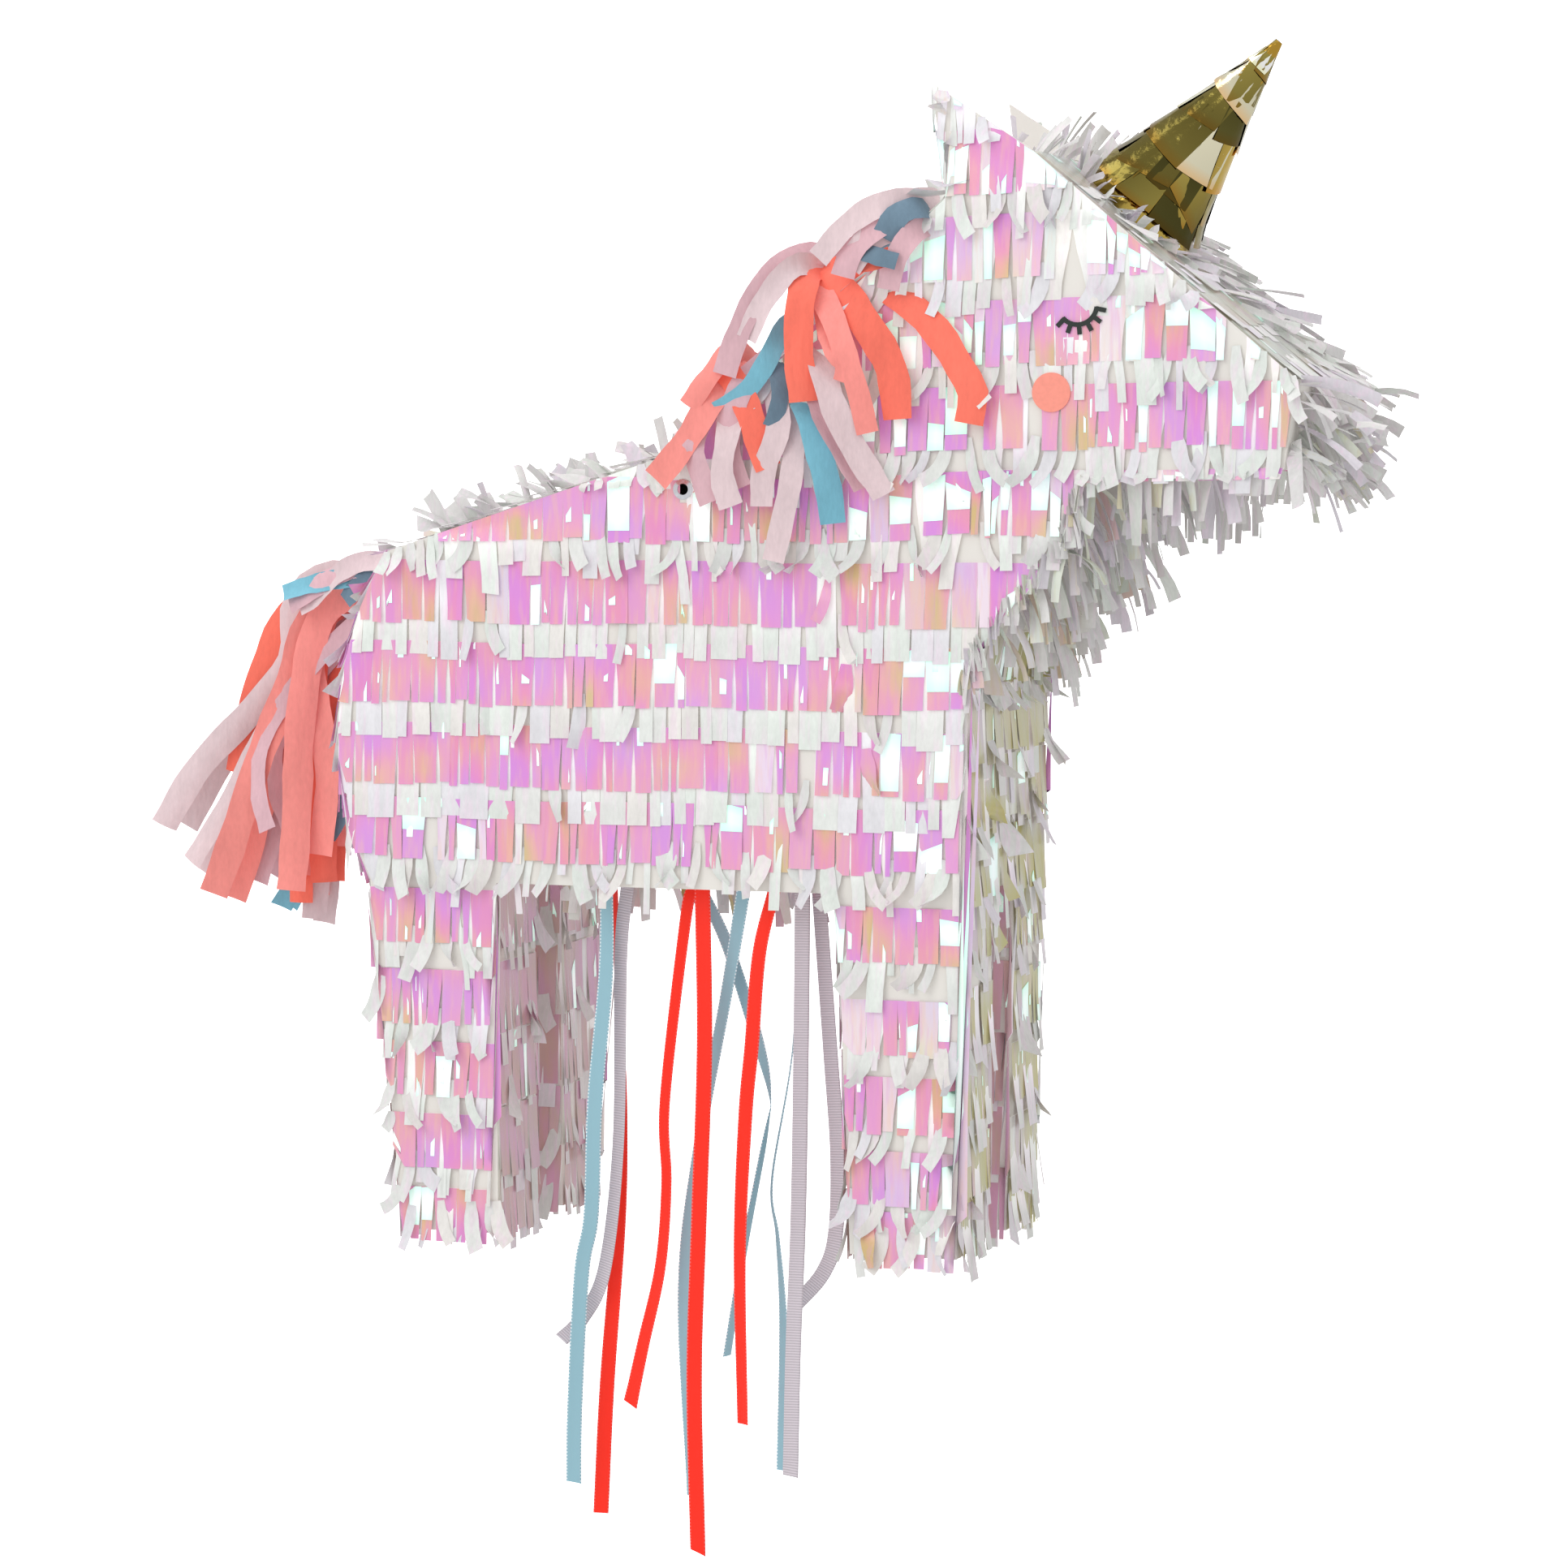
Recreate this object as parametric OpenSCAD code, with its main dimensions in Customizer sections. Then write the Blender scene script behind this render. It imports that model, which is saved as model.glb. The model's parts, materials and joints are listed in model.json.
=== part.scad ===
// Hanging unicorn pinata: a flat-sided greyboard body with fringed film and tissue rows,
// a foil horn, tissue tassels for mane and tail, and a trapdoor in the belly that opens
// when the ribbons under it are pulled.
// Frame: origin on the axis of the hang holes, halfway between the side panels,
// +X towards the nose, +Y towards the animal's left side, +Z up.

/* [Overall] */
// Width of the body over both side panels
body_w = 128; // [105:1:160]
// Length of the body from the tail root to the chest
barrel_len = 274; // [225:1:330]
// Height of the legs below the belly
leg_h = 160; // [130:1:200]

/* [Board] */
// Thickness of the greyboard
board = 2; // [1.5:0.1:3]
// Depth of one leg box across the body, outer board included
leg_depth = 47; // [38:1:52]
// Length of a front hoof along the body
front_hoof = 49; // [40:1:56]
// Length of a rear hoof along the body
rear_hoof = 47; // [40:1:52]

/* [Trapdoor] */
// Board left in the belly in front of and behind the door
door_margin = 14; // [10:1:30]
// Board left along the right side, where the door opens
open_lip = 16; // [10:1:24]
// Board left along the left side, where the door hinges
hinge_lip = 26; // [14:1:34]
// Slit around the door
door_slit = 0.8; // [0.5:0.1:1.5]
// Width of the tape on each side of the hinge
tape_w = 12; // [8:1:18]
// Thickness of the tape
tape_t = 0.3; // [0.2:0.1:0.5]

/* [Hang holes] */
// Inner diameter of an eyelet
eyelet_bore = 5; // [3:0.5:8]
// Wall of an eyelet's barrel
eyelet_wall = 0.4; // [0.3:0.1:0.8]
// Width of an eyelet's flange around its barrel
eyelet_flange = 1.6; // [1:0.1:3]

/* [Horn] */
// Height of the horn above the forehead
horn_h = 98; // [70:1:120]
// Radius of the horn at its foot
horn_r = 28; // [18:1:32]
// Distance of the horn's axis from the brow, along the forehead
horn_set = 38; // [34:1:60]
// Thickness of the horn's card
horn_card = 0.8; // [0.6:0.1:1.5]
// Thickness of the foil around the horn
foil_t = 0.6; // [0.4:0.1:1.2]

/* [Fringe] */
// Thickness of the fringe on the side panels and leg boxes
skin_t = 1.2; // [0.8:0.1:2]
// Distance from one tissue row to the next on the body and head
row_pitch = 37; // [30:1:45]
// Distance from one tissue row to the next on the legs
leg_row_pitch = 33; // [28:1:40]
// Height of a tissue row
tissue_h = 15; // [10:1:20]
// Depth of the loose fringe that lies over the edge strips
edge_fringe = 4; // [2:0.5:8]

/* [Face] */
// Diameter of a cheek dot
cheek_d = 17; // [12:1:24]
// Radius of the closed eyelid's arc
lid_r = 8.6; // [7:0.1:11]
// Width of the eyelid line and of each lash
lash_w = 2; // [1.5:0.1:3]
// Length of each lash
lash_len = 4.5; // [3:0.5:6]
// Thickness of the face stickers
sticker_t = 0.5; // [0.3:0.1:1]

/* [Mane and tail] */
// Length of crest that one mane tassel covers
tassel_len = 34; // [24:1:36]
// How far a mane tassel hangs down the side of the neck
tassel_drop = 72; // [40:1:90]
// Thickness of a tassel's strands on the side of the neck
tassel_t = 7; // [4:1:10]
// Width of the tail tassel across the body
tail_w = 56; // [30:1:80]

/* [Ribbons] */
// Width of a ribbon
ribbon_w = 7; // [5:1:10]
// Thickness of a ribbon
ribbon_t = 1; // [0.6:0.1:1.5]
// Space between a ribbon's top and the door
ribbon_gap = 1; // [0.5:0.5:2]

/* [Hidden] */

$fn = 48;
cut = 1;                      // overshoot of every cutting solid past a face
half_w = body_w / 2;
inner_half = half_w - board;
skin_half = half_w + skin_t;

// Side outline. The chest, neck and head stay with the hang holes; the tail root and the
// rear legs follow the barrel's length.
chest_x = 132;
tail_x = chest_x - barrel_len;
belly_z = -178;
hoof_z = belly_z - leg_h;
tail = [tail_x, -28];
withers = [2, 18];
poll = [122, 127];
ear_tip = [114, 176];
brow = [161, 145];
nose_top = [276, 47];
nose_low = [271, 9];
jaw = [184, 7];
throat = [176, -20];
breast = [137, -64];
chest = [chest_x, -82];
girth = [130, belly_z];
front_toe_x = 127;
front_knee_x = 72;
rear_inner_x = tail_x + 52;
rear_heel_x = rear_inner_x - rear_hoof;
rump_low = [tail_x - 10, belly_z];
rump_r = 150;
rump_steps = 10;

function unit(v) = v / norm(v);
function right_of(a, b) = let (d = unit(b - a)) [d[1], -d[0]];

// Points of the arc that bulges to the left on the way from a to b
function arc_between(a, b, r, steps) =
    let (half = norm(b - a) / 2,
         inward = right_of(a, b),
         centre = (a + b) / 2 + sqrt(r * r - half * half) * inward,
         middle = atan2(-inward[1], -inward[0]),
         spread = asin(half / r))
    [for (i = [0 : steps])
        let (angle = middle + spread * (1 - 2 * i / steps))
        centre + r * [cos(angle), sin(angle)]];

rump = arc_between(rump_low, tail, rump_r, rump_steps);
rump_rise = [for (i = [0 : rump_steps - 1]) rump[i]];

// The ring of edge strips, clockwise from the tail root
ring = concat([tail, withers, poll, brow, nose_top, nose_low, jaw, throat, breast, chest,
    girth], rump_rise);
ring_n = len(ring);
TAIL = 0;
WITHERS = 1;
POLL = 2;
BROW = 3;
NOSE_TOP = 4;
NOSE_LOW = 5;
JAW = 6;
BREAST = 8;
GIRTH = 10;
RUMP_LOW = 11;

front_leg = [girth, [front_toe_x, hoof_z], [front_toe_x - front_hoof, hoof_z],
    [front_knee_x, belly_z]];
rear_leg = [[rear_inner_x, belly_z], [rear_inner_x, hoof_z], [rear_heel_x, hoof_z], rump_low];

outline = concat([tail, withers, poll, ear_tip, brow, nose_top, nose_low, jaw, throat, breast,
    chest], front_leg, [for (i = [0 : 2]) rear_leg[i]], rump_rise);

// Corner k of the ring moved inwards by t along its mitre
function mitre(k, t) =
    let (a = ring[(k + ring_n - 1) % ring_n], b = ring[k % ring_n],
         c = ring[(k + 1) % ring_n], n1 = right_of(a, b), n2 = right_of(b, c))
    b + t * (n1 + n2) / (1 + n1 * n2);

// Outline of the band between two insets, from ring corner k0 to ring corner k1
function band(k0, k1, t0, t1) =
    concat([for (k = [k0 : k1]) mitre(k, t0)],
           [for (k = [k1 : -1 : k0]) mitre(k, t1)]);

// Extrudes a side view between two positions across the body
module across(y0, y1) {
    translate([0, y1, 0])
        rotate([90, 0, 0])
            linear_extrude(height = y1 - y0)
                children();
}

// Hang holes and eyelets
eyelet_r = eyelet_bore / 2;
barrel_r = eyelet_r + eyelet_wall;
seat_r = barrel_r + 0.05;
flange_r = barrel_r + eyelet_flange;
flange_t = 0.5;
skin_clear_r = flange_r + 0.5;

module side_panel() {
    difference() {
        polygon(outline);
        circle(r = seat_r);
    }
}

module right_side_panel() {
    color("#F2EFEA") across(-half_w, -inner_half) side_panel();
}

module left_side_panel() {
    color("#F2EFEA") across(inner_half, half_w) side_panel();
}

module edge_strip(k0, k1) {
    color("#E9E4DC") across(-inner_half, inner_half) polygon(band(k0, k1, 0, board));
}

module back_strip() {
    edge_strip(TAIL, WITHERS);
}

module neck_strip() {
    edge_strip(WITHERS, POLL);
}

module poll_strip() {
    edge_strip(POLL, BROW);
}

module forehead_strip() {
    edge_strip(BROW, NOSE_TOP);
}

module nose_strip() {
    edge_strip(NOSE_TOP, NOSE_LOW);
}

module jaw_strip() {
    edge_strip(NOSE_LOW, JAW);
}

module throat_strip() {
    edge_strip(JAW, BREAST);
}

module chest_strip() {
    edge_strip(BREAST, GIRTH);
}

module rump_strip() {
    edge_strip(RUMP_LOW, ring_n);
}

// Trapdoor between the legs: it hinges along its left edge and swings down
door_x0 = rear_inner_x + door_margin;
door_x1 = front_knee_x - door_margin;
door_y0 = -half_w + open_lip;
hinge_y = half_w - hinge_lip;

module belly_panel() {
    color("#E9E4DC") difference() {
        across(-inner_half, inner_half) polygon(band(GIRTH, RUMP_LOW, 0, board));
        translate([door_x0, door_y0, belly_z - cut])
            cube([door_x1 - door_x0, hinge_y - door_y0, board + 2 * cut]);
    }
}

module trapdoor() {
    color("#F3C9DD")
        translate([door_x0 + door_slit, door_y0 + door_slit, belly_z])
            cube([door_x1 - door_x0 - 2 * door_slit, hinge_y - door_y0 - 2 * door_slit, board]);
}

tape_gap = 0.6;
module tape(y0, y1) {
    translate([door_x0 + door_slit, y0, belly_z - tape_t])
        cube([door_x1 - door_x0 - 2 * door_slit, y1 - y0, tape_t]);
}

module belly_hinge_tape() {
    color("#FFFFFF") tape(hinge_y + tape_gap, hinge_y + tape_w);
}

module door_hinge_tape() {
    color("#FFFFFF") tape(hinge_y - tape_w, hinge_y - tape_gap);
}

ribbon_line_y = door_y0 + door_slit;
module ribbon_tape() {
    color("#F4EEF2") tape(ribbon_line_y, ribbon_line_y + tape_w);
}

// Leg boxes: the side panel is the outer wall, a folded channel makes the other three
module leg_profile(leg, inset, z0, z1) {
    intersection() {
        polygon([leg[0] - [inset, 0], leg[1] - [inset, 0], leg[2] + [inset, 0],
            leg[3] + [inset, 0]]);
        translate([leg[2][0] - barrel_len, z0])
            square([2 * barrel_len, z1 - z0]);
    }
}

module leg_channel(leg) {
    difference() {
        across(-inner_half, leg_depth - half_w) leg_profile(leg, 0, hoof_z, belly_z);
        across(-inner_half - cut, leg_depth - half_w - board)
            leg_profile(leg, board, hoof_z - cut, belly_z + cut);
    }
}

module leg_sole(leg) {
    across(-inner_half, leg_depth - half_w - board)
        leg_profile(leg, board, hoof_z, hoof_z + board);
}

module front_right_leg() {
    color("#E9E4DC") leg_channel(front_leg);
}

module front_left_leg() {
    color("#E9E4DC") mirror([0, 1, 0]) leg_channel(front_leg);
}

module rear_right_leg() {
    color("#E9E4DC") leg_channel(rear_leg);
}

module rear_left_leg() {
    color("#E9E4DC") mirror([0, 1, 0]) leg_channel(rear_leg);
}

module front_right_sole() {
    color("#D9D2C8") leg_sole(front_leg);
}

module front_left_sole() {
    color("#D9D2C8") mirror([0, 1, 0]) leg_sole(front_leg);
}

module rear_right_sole() {
    color("#D9D2C8") leg_sole(rear_leg);
}

module rear_left_sole() {
    color("#D9D2C8") mirror([0, 1, 0]) leg_sole(rear_leg);
}

// Horn: a rolled card cone wrapped in foil, square to the forehead
slope = unit(nose_top - brow);
horn_foot = brow + horn_set * slope;
horn_lean = atan2(-slope[1], slope[0]);
horn_tip_r = 1;
foil_gap = 0.1;
horn_hollow_r = 0.2;

module on_forehead() {
    translate([horn_foot[0], 0, horn_foot[1]]) rotate([0, horn_lean, 0]) children();
}

module cone_shell(r_in, thick, height) {
    difference() {
        cylinder(r1 = r_in + thick, r2 = horn_tip_r + thick, h = height);
        translate([0, 0, -cut])
            cylinder(r1 = r_in + cut * (r_in - horn_tip_r) / height, r2 = horn_tip_r,
                h = height + cut);
    }
}

module horn_cone() {
    color("#B9A06A") on_forehead() difference() {
        cylinder(r1 = horn_r, r2 = horn_tip_r, h = horn_h - foil_t);
        translate([0, 0, -cut])
            cylinder(r1 = horn_r - horn_card, r2 = horn_hollow_r,
                h = horn_h - 8 * horn_card);
    }
}

module horn_foil() {
    color("#C9A23A") on_forehead() cone_shell(horn_r + foil_gap, foil_t, horn_h);
}

module eyelet() {
    difference() {
        union() {
            cylinder(r = barrel_r, h = board);
            translate([0, 0, board])
                cylinder(r = flange_r, h = flange_t);
        }
        translate([0, 0, -cut])
            cylinder(r = eyelet_r, h = board + flange_t + 2 * cut);
    }
}

module right_eyelet() {
    color("#D8D8DC") translate([0, -inner_half, 0]) rotate([90, 0, 0]) eyelet();
}

module left_eyelet() {
    color("#D8D8DC") translate([0, inner_half, 0]) rotate([-90, 0, 0]) eyelet();
}

// Face stickers
lid_centre = [180.5, 79.5];
lid_tilt = 17;
lid_sweep = 66;
lash_count = 6;
lash_spread = 61;
lash_root = 0.2;
cheek_centre = [169, 42];

module lash_shape() {
    translate(lid_centre) rotate(lid_tilt - 90) {
        intersection() {
            difference() {
                circle(r = lid_r + lash_w / 2);
                circle(r = lid_r - lash_w / 2);
            }
            polygon([[0, 0], for (a = [-1 : 0.5 : 1])
                3 * lid_r * [cos(a * lid_sweep), sin(a * lid_sweep)]]);
        }
        for (i = [0 : lash_count - 1])
            rotate(lash_spread * (2 * i / (lash_count - 1) - 1))
                translate([lid_r - lash_root, -lash_w / 2])
                    square([lash_len, lash_w]);
    }
}

module right_lashes() {
    color("#0F1F18") across(-skin_half - sticker_t, -skin_half) lash_shape();
}

module left_lashes() {
    color("#0F1F18") across(skin_half, skin_half + sticker_t) lash_shape();
}

module right_cheek() {
    color("#FFA594") across(-skin_half - sticker_t, -skin_half)
        translate(cheek_centre) circle(d = cheek_d);
}

module left_cheek() {
    color("#FFA594") across(skin_half, skin_half + sticker_t)
        translate(cheek_centre) circle(d = cheek_d);
}

// Mane: four tassels side by side along the crest, each hanging down both sides of the neck
crest = unit(poll - withers);
crest_up = [-crest[1], crest[0]];
mane_start = 14;
mane_gap = 2;
mane_lift = 1;
mane_fall = unit([16, -72]);
mane_puff = 22;
mane_shoulder = 15.4;
mane_clear = 1;
mane_front_drop = 0.8;        // share of the drop at a tassel's front edge

module mane_tassel(i) {
    from = withers + crest * (mane_start + i * (tassel_len + mane_gap));
    to = from + crest * tassel_len;
    side = skin_half + mane_clear;
    color(i % 2 == 0 ? "#FF7D6B" : "#DFBFC6") {
        across(-side, side)
            polygon([from + crest_up * mane_lift, from + crest_up * mane_shoulder,
                (from + to) / 2 + crest_up * mane_puff, to + crest_up * mane_shoulder,
                to + crest_up * mane_lift]);
        for (y = [-side - tassel_t, side])
            across(y, y + tassel_t)
                polygon([from + crest_up * mane_shoulder, to + crest_up * mane_shoulder,
                    to + mane_fall * tassel_drop * mane_front_drop, from + mane_fall * tassel_drop]);
    }
}

module mane_tassel_1() {
    mane_tassel(3);
}

module mane_tassel_2() {
    mane_tassel(2);
}

module mane_tassel_3() {
    mane_tassel(1);
}

module mane_tassel_4() {
    mane_tassel(0);
}

// Tail: one tassel on the rump, arching back and down
tail_root = [tail_x - 10, -44];
tail_clear = 1;
tail_notch = [30, 46];
tail_shape = [[-3.4, -8], [4.7, 8], [-30, 5], [-66, -12], [-102, -66], [-132, -114],
    [-118, -136], [-60, -162], [-40, -150], [-32, -60]];

module tail_tassel() {
    color("#FF7D6B") across(-tail_w / 2, tail_w / 2)
        translate(tail_root) polygon(tail_shape);
}

// Fringe rows on the side panels
row_top = -23;
rows_up = 4;
rows_down = 3;
leg_row_top = belly_z - 29;
leg_rows = 3;
belly_row_drop = 4;

module tissue_bands() {
    for (i = [-rows_up : rows_down])
        translate([-2 * barrel_len, row_top - i * row_pitch - tissue_h])
            square([4 * barrel_len, tissue_h]);
    for (i = [0 : leg_rows])
        translate([-2 * barrel_len, leg_row_top - i * leg_row_pitch - tissue_h])
            square([4 * barrel_len, tissue_h]);
    translate([-2 * barrel_len, belly_z - belly_row_drop])
        square([4 * barrel_len, tissue_h]);
}

module tissue_rows() {
    difference() {
        intersection() {
            polygon(outline);
            tissue_bands();
        }
        circle(r = skin_clear_r);
    }
}

module film_rows() {
    difference() {
        polygon(outline);
        tissue_bands();
        circle(r = skin_clear_r);
    }
}

module right_film_rows() {
    color("#E89BD0") across(-skin_half, -half_w) film_rows();
}

module right_tissue_rows() {
    color("#E2E4E0") across(-skin_half, -half_w) tissue_rows();
}

module left_film_rows() {
    color("#E89BD0") across(half_w, skin_half) film_rows();
}

module left_tissue_rows() {
    color("#E2E4E0") across(half_w, skin_half) tissue_rows();
}

// Fringe over the edge strips
module edge_band(k0, k1) {
    across(-inner_half, inner_half) polygon(band(k0, k1, -edge_fringe, 0));
}

module back_fringe() {
    color("#D4D2D0") edge_band(TAIL, WITHERS);
}

horn_clear = 1;
module face_fringe() {
    color("#DCE2DA") difference() {
        edge_band(POLL, NOSE_TOP);
        on_forehead() cylinder(r = horn_r + foil_t + horn_clear, h = horn_h);
    }
}

nose_reach = 22;
module nose_fringe() {
    color("#C4C6C0") across(-inner_half, inner_half)
        polygon([nose_top, nose_top + [nose_reach, -12], nose_low + [nose_reach + 4, 4],
            nose_low]);
}

jaw_hang = 26;
module jaw_fringe() {
    color("#B9BAB2") across(-inner_half, inner_half)
        polygon([nose_low, nose_low - [6, jaw_hang], jaw + [16, -jaw_hang],
            jaw + 8 * unit(nose_low - jaw)]);
}

throat_hang = 20;
module throat_fringe() {
    color("#B0AFA8") across(-inner_half, inner_half)
        polygon([jaw, jaw + [8, -4], throat + [throat_hang, -14],
            breast + [throat_hang, -4], breast, throat]);
}

chest_hang = 4;
module chest_fringe() {
    color("#B8B06A") across(-inner_half, inner_half)
        polygon([breast - [0, 1], breast + [18, -10], chest + [10, 0], girth + [8, 0],
            girth, chest]);
}

module rump_fringe() {
    color("#D9B6C8") difference() {
        edge_band(RUMP_LOW, ring_n);
        across(-inner_half - cut, inner_half + cut)
            translate([tail_x - barrel_len, belly_z - 2 * edge_fringe])
                square([2 * barrel_len, 2 * edge_fringe]);
        across(-tail_w / 2 - tail_clear, tail_w / 2 + tail_clear)
            translate(tail_root - tail_notch)
                square([tail_notch[0] + 20, tail_notch[1] + 16]);
    }
}

module leg_wrap(leg) {
    difference() {
        across(-inner_half, leg_depth - half_w + skin_t)
            leg_profile(leg, -skin_t, hoof_z, belly_z);
        across(-inner_half - cut, leg_depth - half_w)
            leg_profile(leg, 0, hoof_z - cut, belly_z + cut);
    }
}

module leg_fringe() {
    color("#C4BEC4") for (side = [0, 1], leg = [front_leg, rear_leg])
        mirror([0, side, 0])
            leg_wrap(leg);
}

// Ribbons: each hangs from the opening edge of the trapdoor. A route gives the distances
// along the body, out from the ribbon line and down from it.
ribbon_top = [0, ribbon_line_y, belly_z - ribbon_gap];
route_1 = [[-43, 0, 0], [-42, -4, -40], [-46, -8, -98], [-48, -8, -150], [-53, -7, -176],
    [-57, -6, -238], [-58, -5, -274]];
route_2 = [[-42, 8, 0], [-41, 9, -50], [-39, 9, -96], [-40, 8, -150], [-46, 7, -228],
    [-49, 6, -290]];
route_3 = [[-34, 3, 0], [-37, 2, -32], [-38, 1, -116], [-45, 1, -176], [-57, 2, -200],
    [-67, 3, -210]];
route_4 = [[-2, 2, 0], [-5, 0, -14], [-14, -3, -96], [-13, -4, -134], [-16, -4, -172],
    [-24, -5, -208], [-30, -6, -236]];
route_5 = [[-3, 12, 0], [10, 13, -26], [25, 13, -70], [31, 12, -94], [30, 11, -108],
    [19, 10, -166], [11, 10, -214]];
route_6 = [[4, -3, 0], [7, -9, -70], [5, -11, -148], [3, -12, -220], [5, -13, -300]];
route_7 = [[21, 5, 0], [13, 5, -46], [-1, 4, -122], [-7, 3, -184], [-4, 2, -278]];
route_8 = [[37, 0, 0], [31, -3, -28], [28, -5, -70], [25, -5, -102], [22, -4, -164],
    [23, -3, -242]];
route_9 = [[45, 8, 0], [43, 9, -70], [33, 9, -132], [36, 8, -158], [39, 7, -198],
    [39, 6, -264]];
route_10 = [[50, 1, 0], [50, -1, -70], [49, -2, -146], [47, -3, -206], [46, -4, -264]];
route_11 = [[55, 9, 0], [60, 11, -74], [63, 12, -120], [62, 12, -156], [56, 12, -174],
    [42, 13, -190]];
ribbon_sides = 8;

function ribbon_ring(p) = [for (s = [0 : ribbon_sides - 1])
    let (a = 360 * (s + 0.5) / ribbon_sides)
    ribbon_top + p + [ribbon_w * cos(a), ribbon_t * sin(a), 0] / (2 * cos(180 / ribbon_sides))];

module ribbon(route, tone) {
    n = len(route);
    last = (n - 1) * ribbon_sides;
    color(tone) polyhedron(
        points = [for (p = route) each ribbon_ring(p)],
        faces = concat(
            [[for (s = [0 : ribbon_sides - 1]) s]],
            [for (k = [0 : n - 2], s = [0 : ribbon_sides - 1])
                let (next = (s + 1) % ribbon_sides, r = k * ribbon_sides)
                [r + next, r + s, r + ribbon_sides + s, r + ribbon_sides + next]],
            [[for (s = [ribbon_sides - 1 : -1 : 0]) last + s]]));
}

satin_blue = "#8CCBE0";
satin_red = "#FF3418";
lilac = "#CFC3CB";

module ribbon_1() {
    ribbon(route_1, satin_blue);
}

module ribbon_2() {
    ribbon(route_2, satin_red);
}

module ribbon_3() {
    ribbon(route_3, lilac);
}

module ribbon_4() {
    ribbon(route_4, satin_red);
}

module ribbon_5() {
    ribbon(route_5, satin_blue);
}

module ribbon_6() {
    ribbon(route_6, satin_red);
}

module ribbon_7() {
    ribbon(route_7, satin_blue);
}

module ribbon_8() {
    ribbon(route_8, satin_red);
}

module ribbon_9() {
    ribbon(route_9, satin_blue);
}

module ribbon_10() {
    ribbon(route_10, lilac);
}

module ribbon_11() {
    ribbon(route_11, lilac);
}

right_side_panel();
left_side_panel();
back_strip();
neck_strip();
poll_strip();
forehead_strip();
nose_strip();
jaw_strip();
throat_strip();
chest_strip();
rump_strip();
belly_panel();
front_right_leg();
front_left_leg();
rear_right_leg();
rear_left_leg();
front_right_sole();
front_left_sole();
rear_right_sole();
rear_left_sole();
trapdoor();
belly_hinge_tape();
door_hinge_tape();
ribbon_tape();
horn_cone();
horn_foil();
right_eyelet();
left_eyelet();
right_lashes();
left_lashes();
right_cheek();
left_cheek();
mane_tassel_1();
mane_tassel_2();
mane_tassel_3();
mane_tassel_4();
tail_tassel();
right_film_rows();
right_tissue_rows();
left_film_rows();
left_tissue_rows();
back_fringe();
face_fringe();
nose_fringe();
jaw_fringe();
throat_fringe();
chest_fringe();
rump_fringe();
leg_fringe();
ribbon_1();
ribbon_2();
ribbon_3();
ribbon_4();
ribbon_5();
ribbon_6();
ribbon_7();
ribbon_8();
ribbon_9();
ribbon_10();
ribbon_11();
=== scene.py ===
"""Looks of a hanging unicorn pinata, dressed over its packed board body.

All sizes are in metres in the body's frame: +X towards the nose, +Y towards the animal's left
side, +Z up, with the origin on the axis of the hang holes.
"""

from __future__ import annotations

import json
import logging
import math
from collections.abc import Callable, Sequence
from dataclasses import dataclass, field
from enum import Enum

import bpy
import numpy as np
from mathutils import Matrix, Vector

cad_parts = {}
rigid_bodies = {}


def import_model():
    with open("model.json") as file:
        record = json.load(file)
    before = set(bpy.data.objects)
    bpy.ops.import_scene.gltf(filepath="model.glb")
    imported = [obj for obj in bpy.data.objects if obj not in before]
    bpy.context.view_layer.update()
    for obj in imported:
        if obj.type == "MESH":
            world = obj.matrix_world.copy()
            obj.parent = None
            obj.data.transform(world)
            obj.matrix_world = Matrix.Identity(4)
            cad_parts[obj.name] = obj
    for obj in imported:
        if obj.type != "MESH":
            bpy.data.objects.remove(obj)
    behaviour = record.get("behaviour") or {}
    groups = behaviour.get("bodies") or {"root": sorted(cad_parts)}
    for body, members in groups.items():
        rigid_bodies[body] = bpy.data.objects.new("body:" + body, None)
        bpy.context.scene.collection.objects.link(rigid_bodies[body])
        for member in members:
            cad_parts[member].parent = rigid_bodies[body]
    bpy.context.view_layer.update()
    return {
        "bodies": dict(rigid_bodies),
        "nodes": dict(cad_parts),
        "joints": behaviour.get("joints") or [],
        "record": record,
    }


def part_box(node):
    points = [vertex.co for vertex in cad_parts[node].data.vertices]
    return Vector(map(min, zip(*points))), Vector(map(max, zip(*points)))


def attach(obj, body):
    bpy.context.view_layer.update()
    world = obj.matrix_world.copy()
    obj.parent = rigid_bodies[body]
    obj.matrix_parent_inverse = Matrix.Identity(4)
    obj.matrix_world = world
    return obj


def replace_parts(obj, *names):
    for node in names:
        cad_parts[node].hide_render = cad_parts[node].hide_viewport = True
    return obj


LOG = logging.getLogger("pinata")
MM = 0.001
UP = np.array([0.0, 0.0, 1.0])
# Painted light: emission on leaves that are no lamps; film and torn tissue glow a little, the painted
# highlights strongly.
FILM_GLOW = 0.06
TORN_GLOW = 0.05
GLINT_GLOW = 0.28
Array = np.ndarray
Socket = bpy.types.NodeSocket
Value = Socket | Array | float | Sequence[float]
Height = Callable[[float], float]
Shade = Callable[[Array, Array], Array]
Loose = tuple[Array, Array, float, float]


class Side(Enum):
    """The two sides of the animal, with the sign of Y that each lies on."""

    RIGHT = -1
    LEFT = 1


def linear(code: str) -> Array:
    """Linear colour of a hex colour code."""
    part = np.array([int(code[i : i + 2], 16) / 255 for i in (1, 3, 5)])
    return np.where(part <= 0.04045, part / 12.92, ((part + 0.055) / 1.055) ** 2.4)


def unit(v: Array) -> Array:
    """The vector scaled to length one."""
    return v / np.linalg.norm(v)


def smooth(x: float | Array, lo: float, hi: float) -> float | Array:
    """Smooth step from 0 at lo to 1 at hi."""
    t = np.clip((x - lo) / (hi - lo), 0, 1)
    return t * t * (3 - 2 * t)


# ---------------------------------------------------------------- finishes


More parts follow.
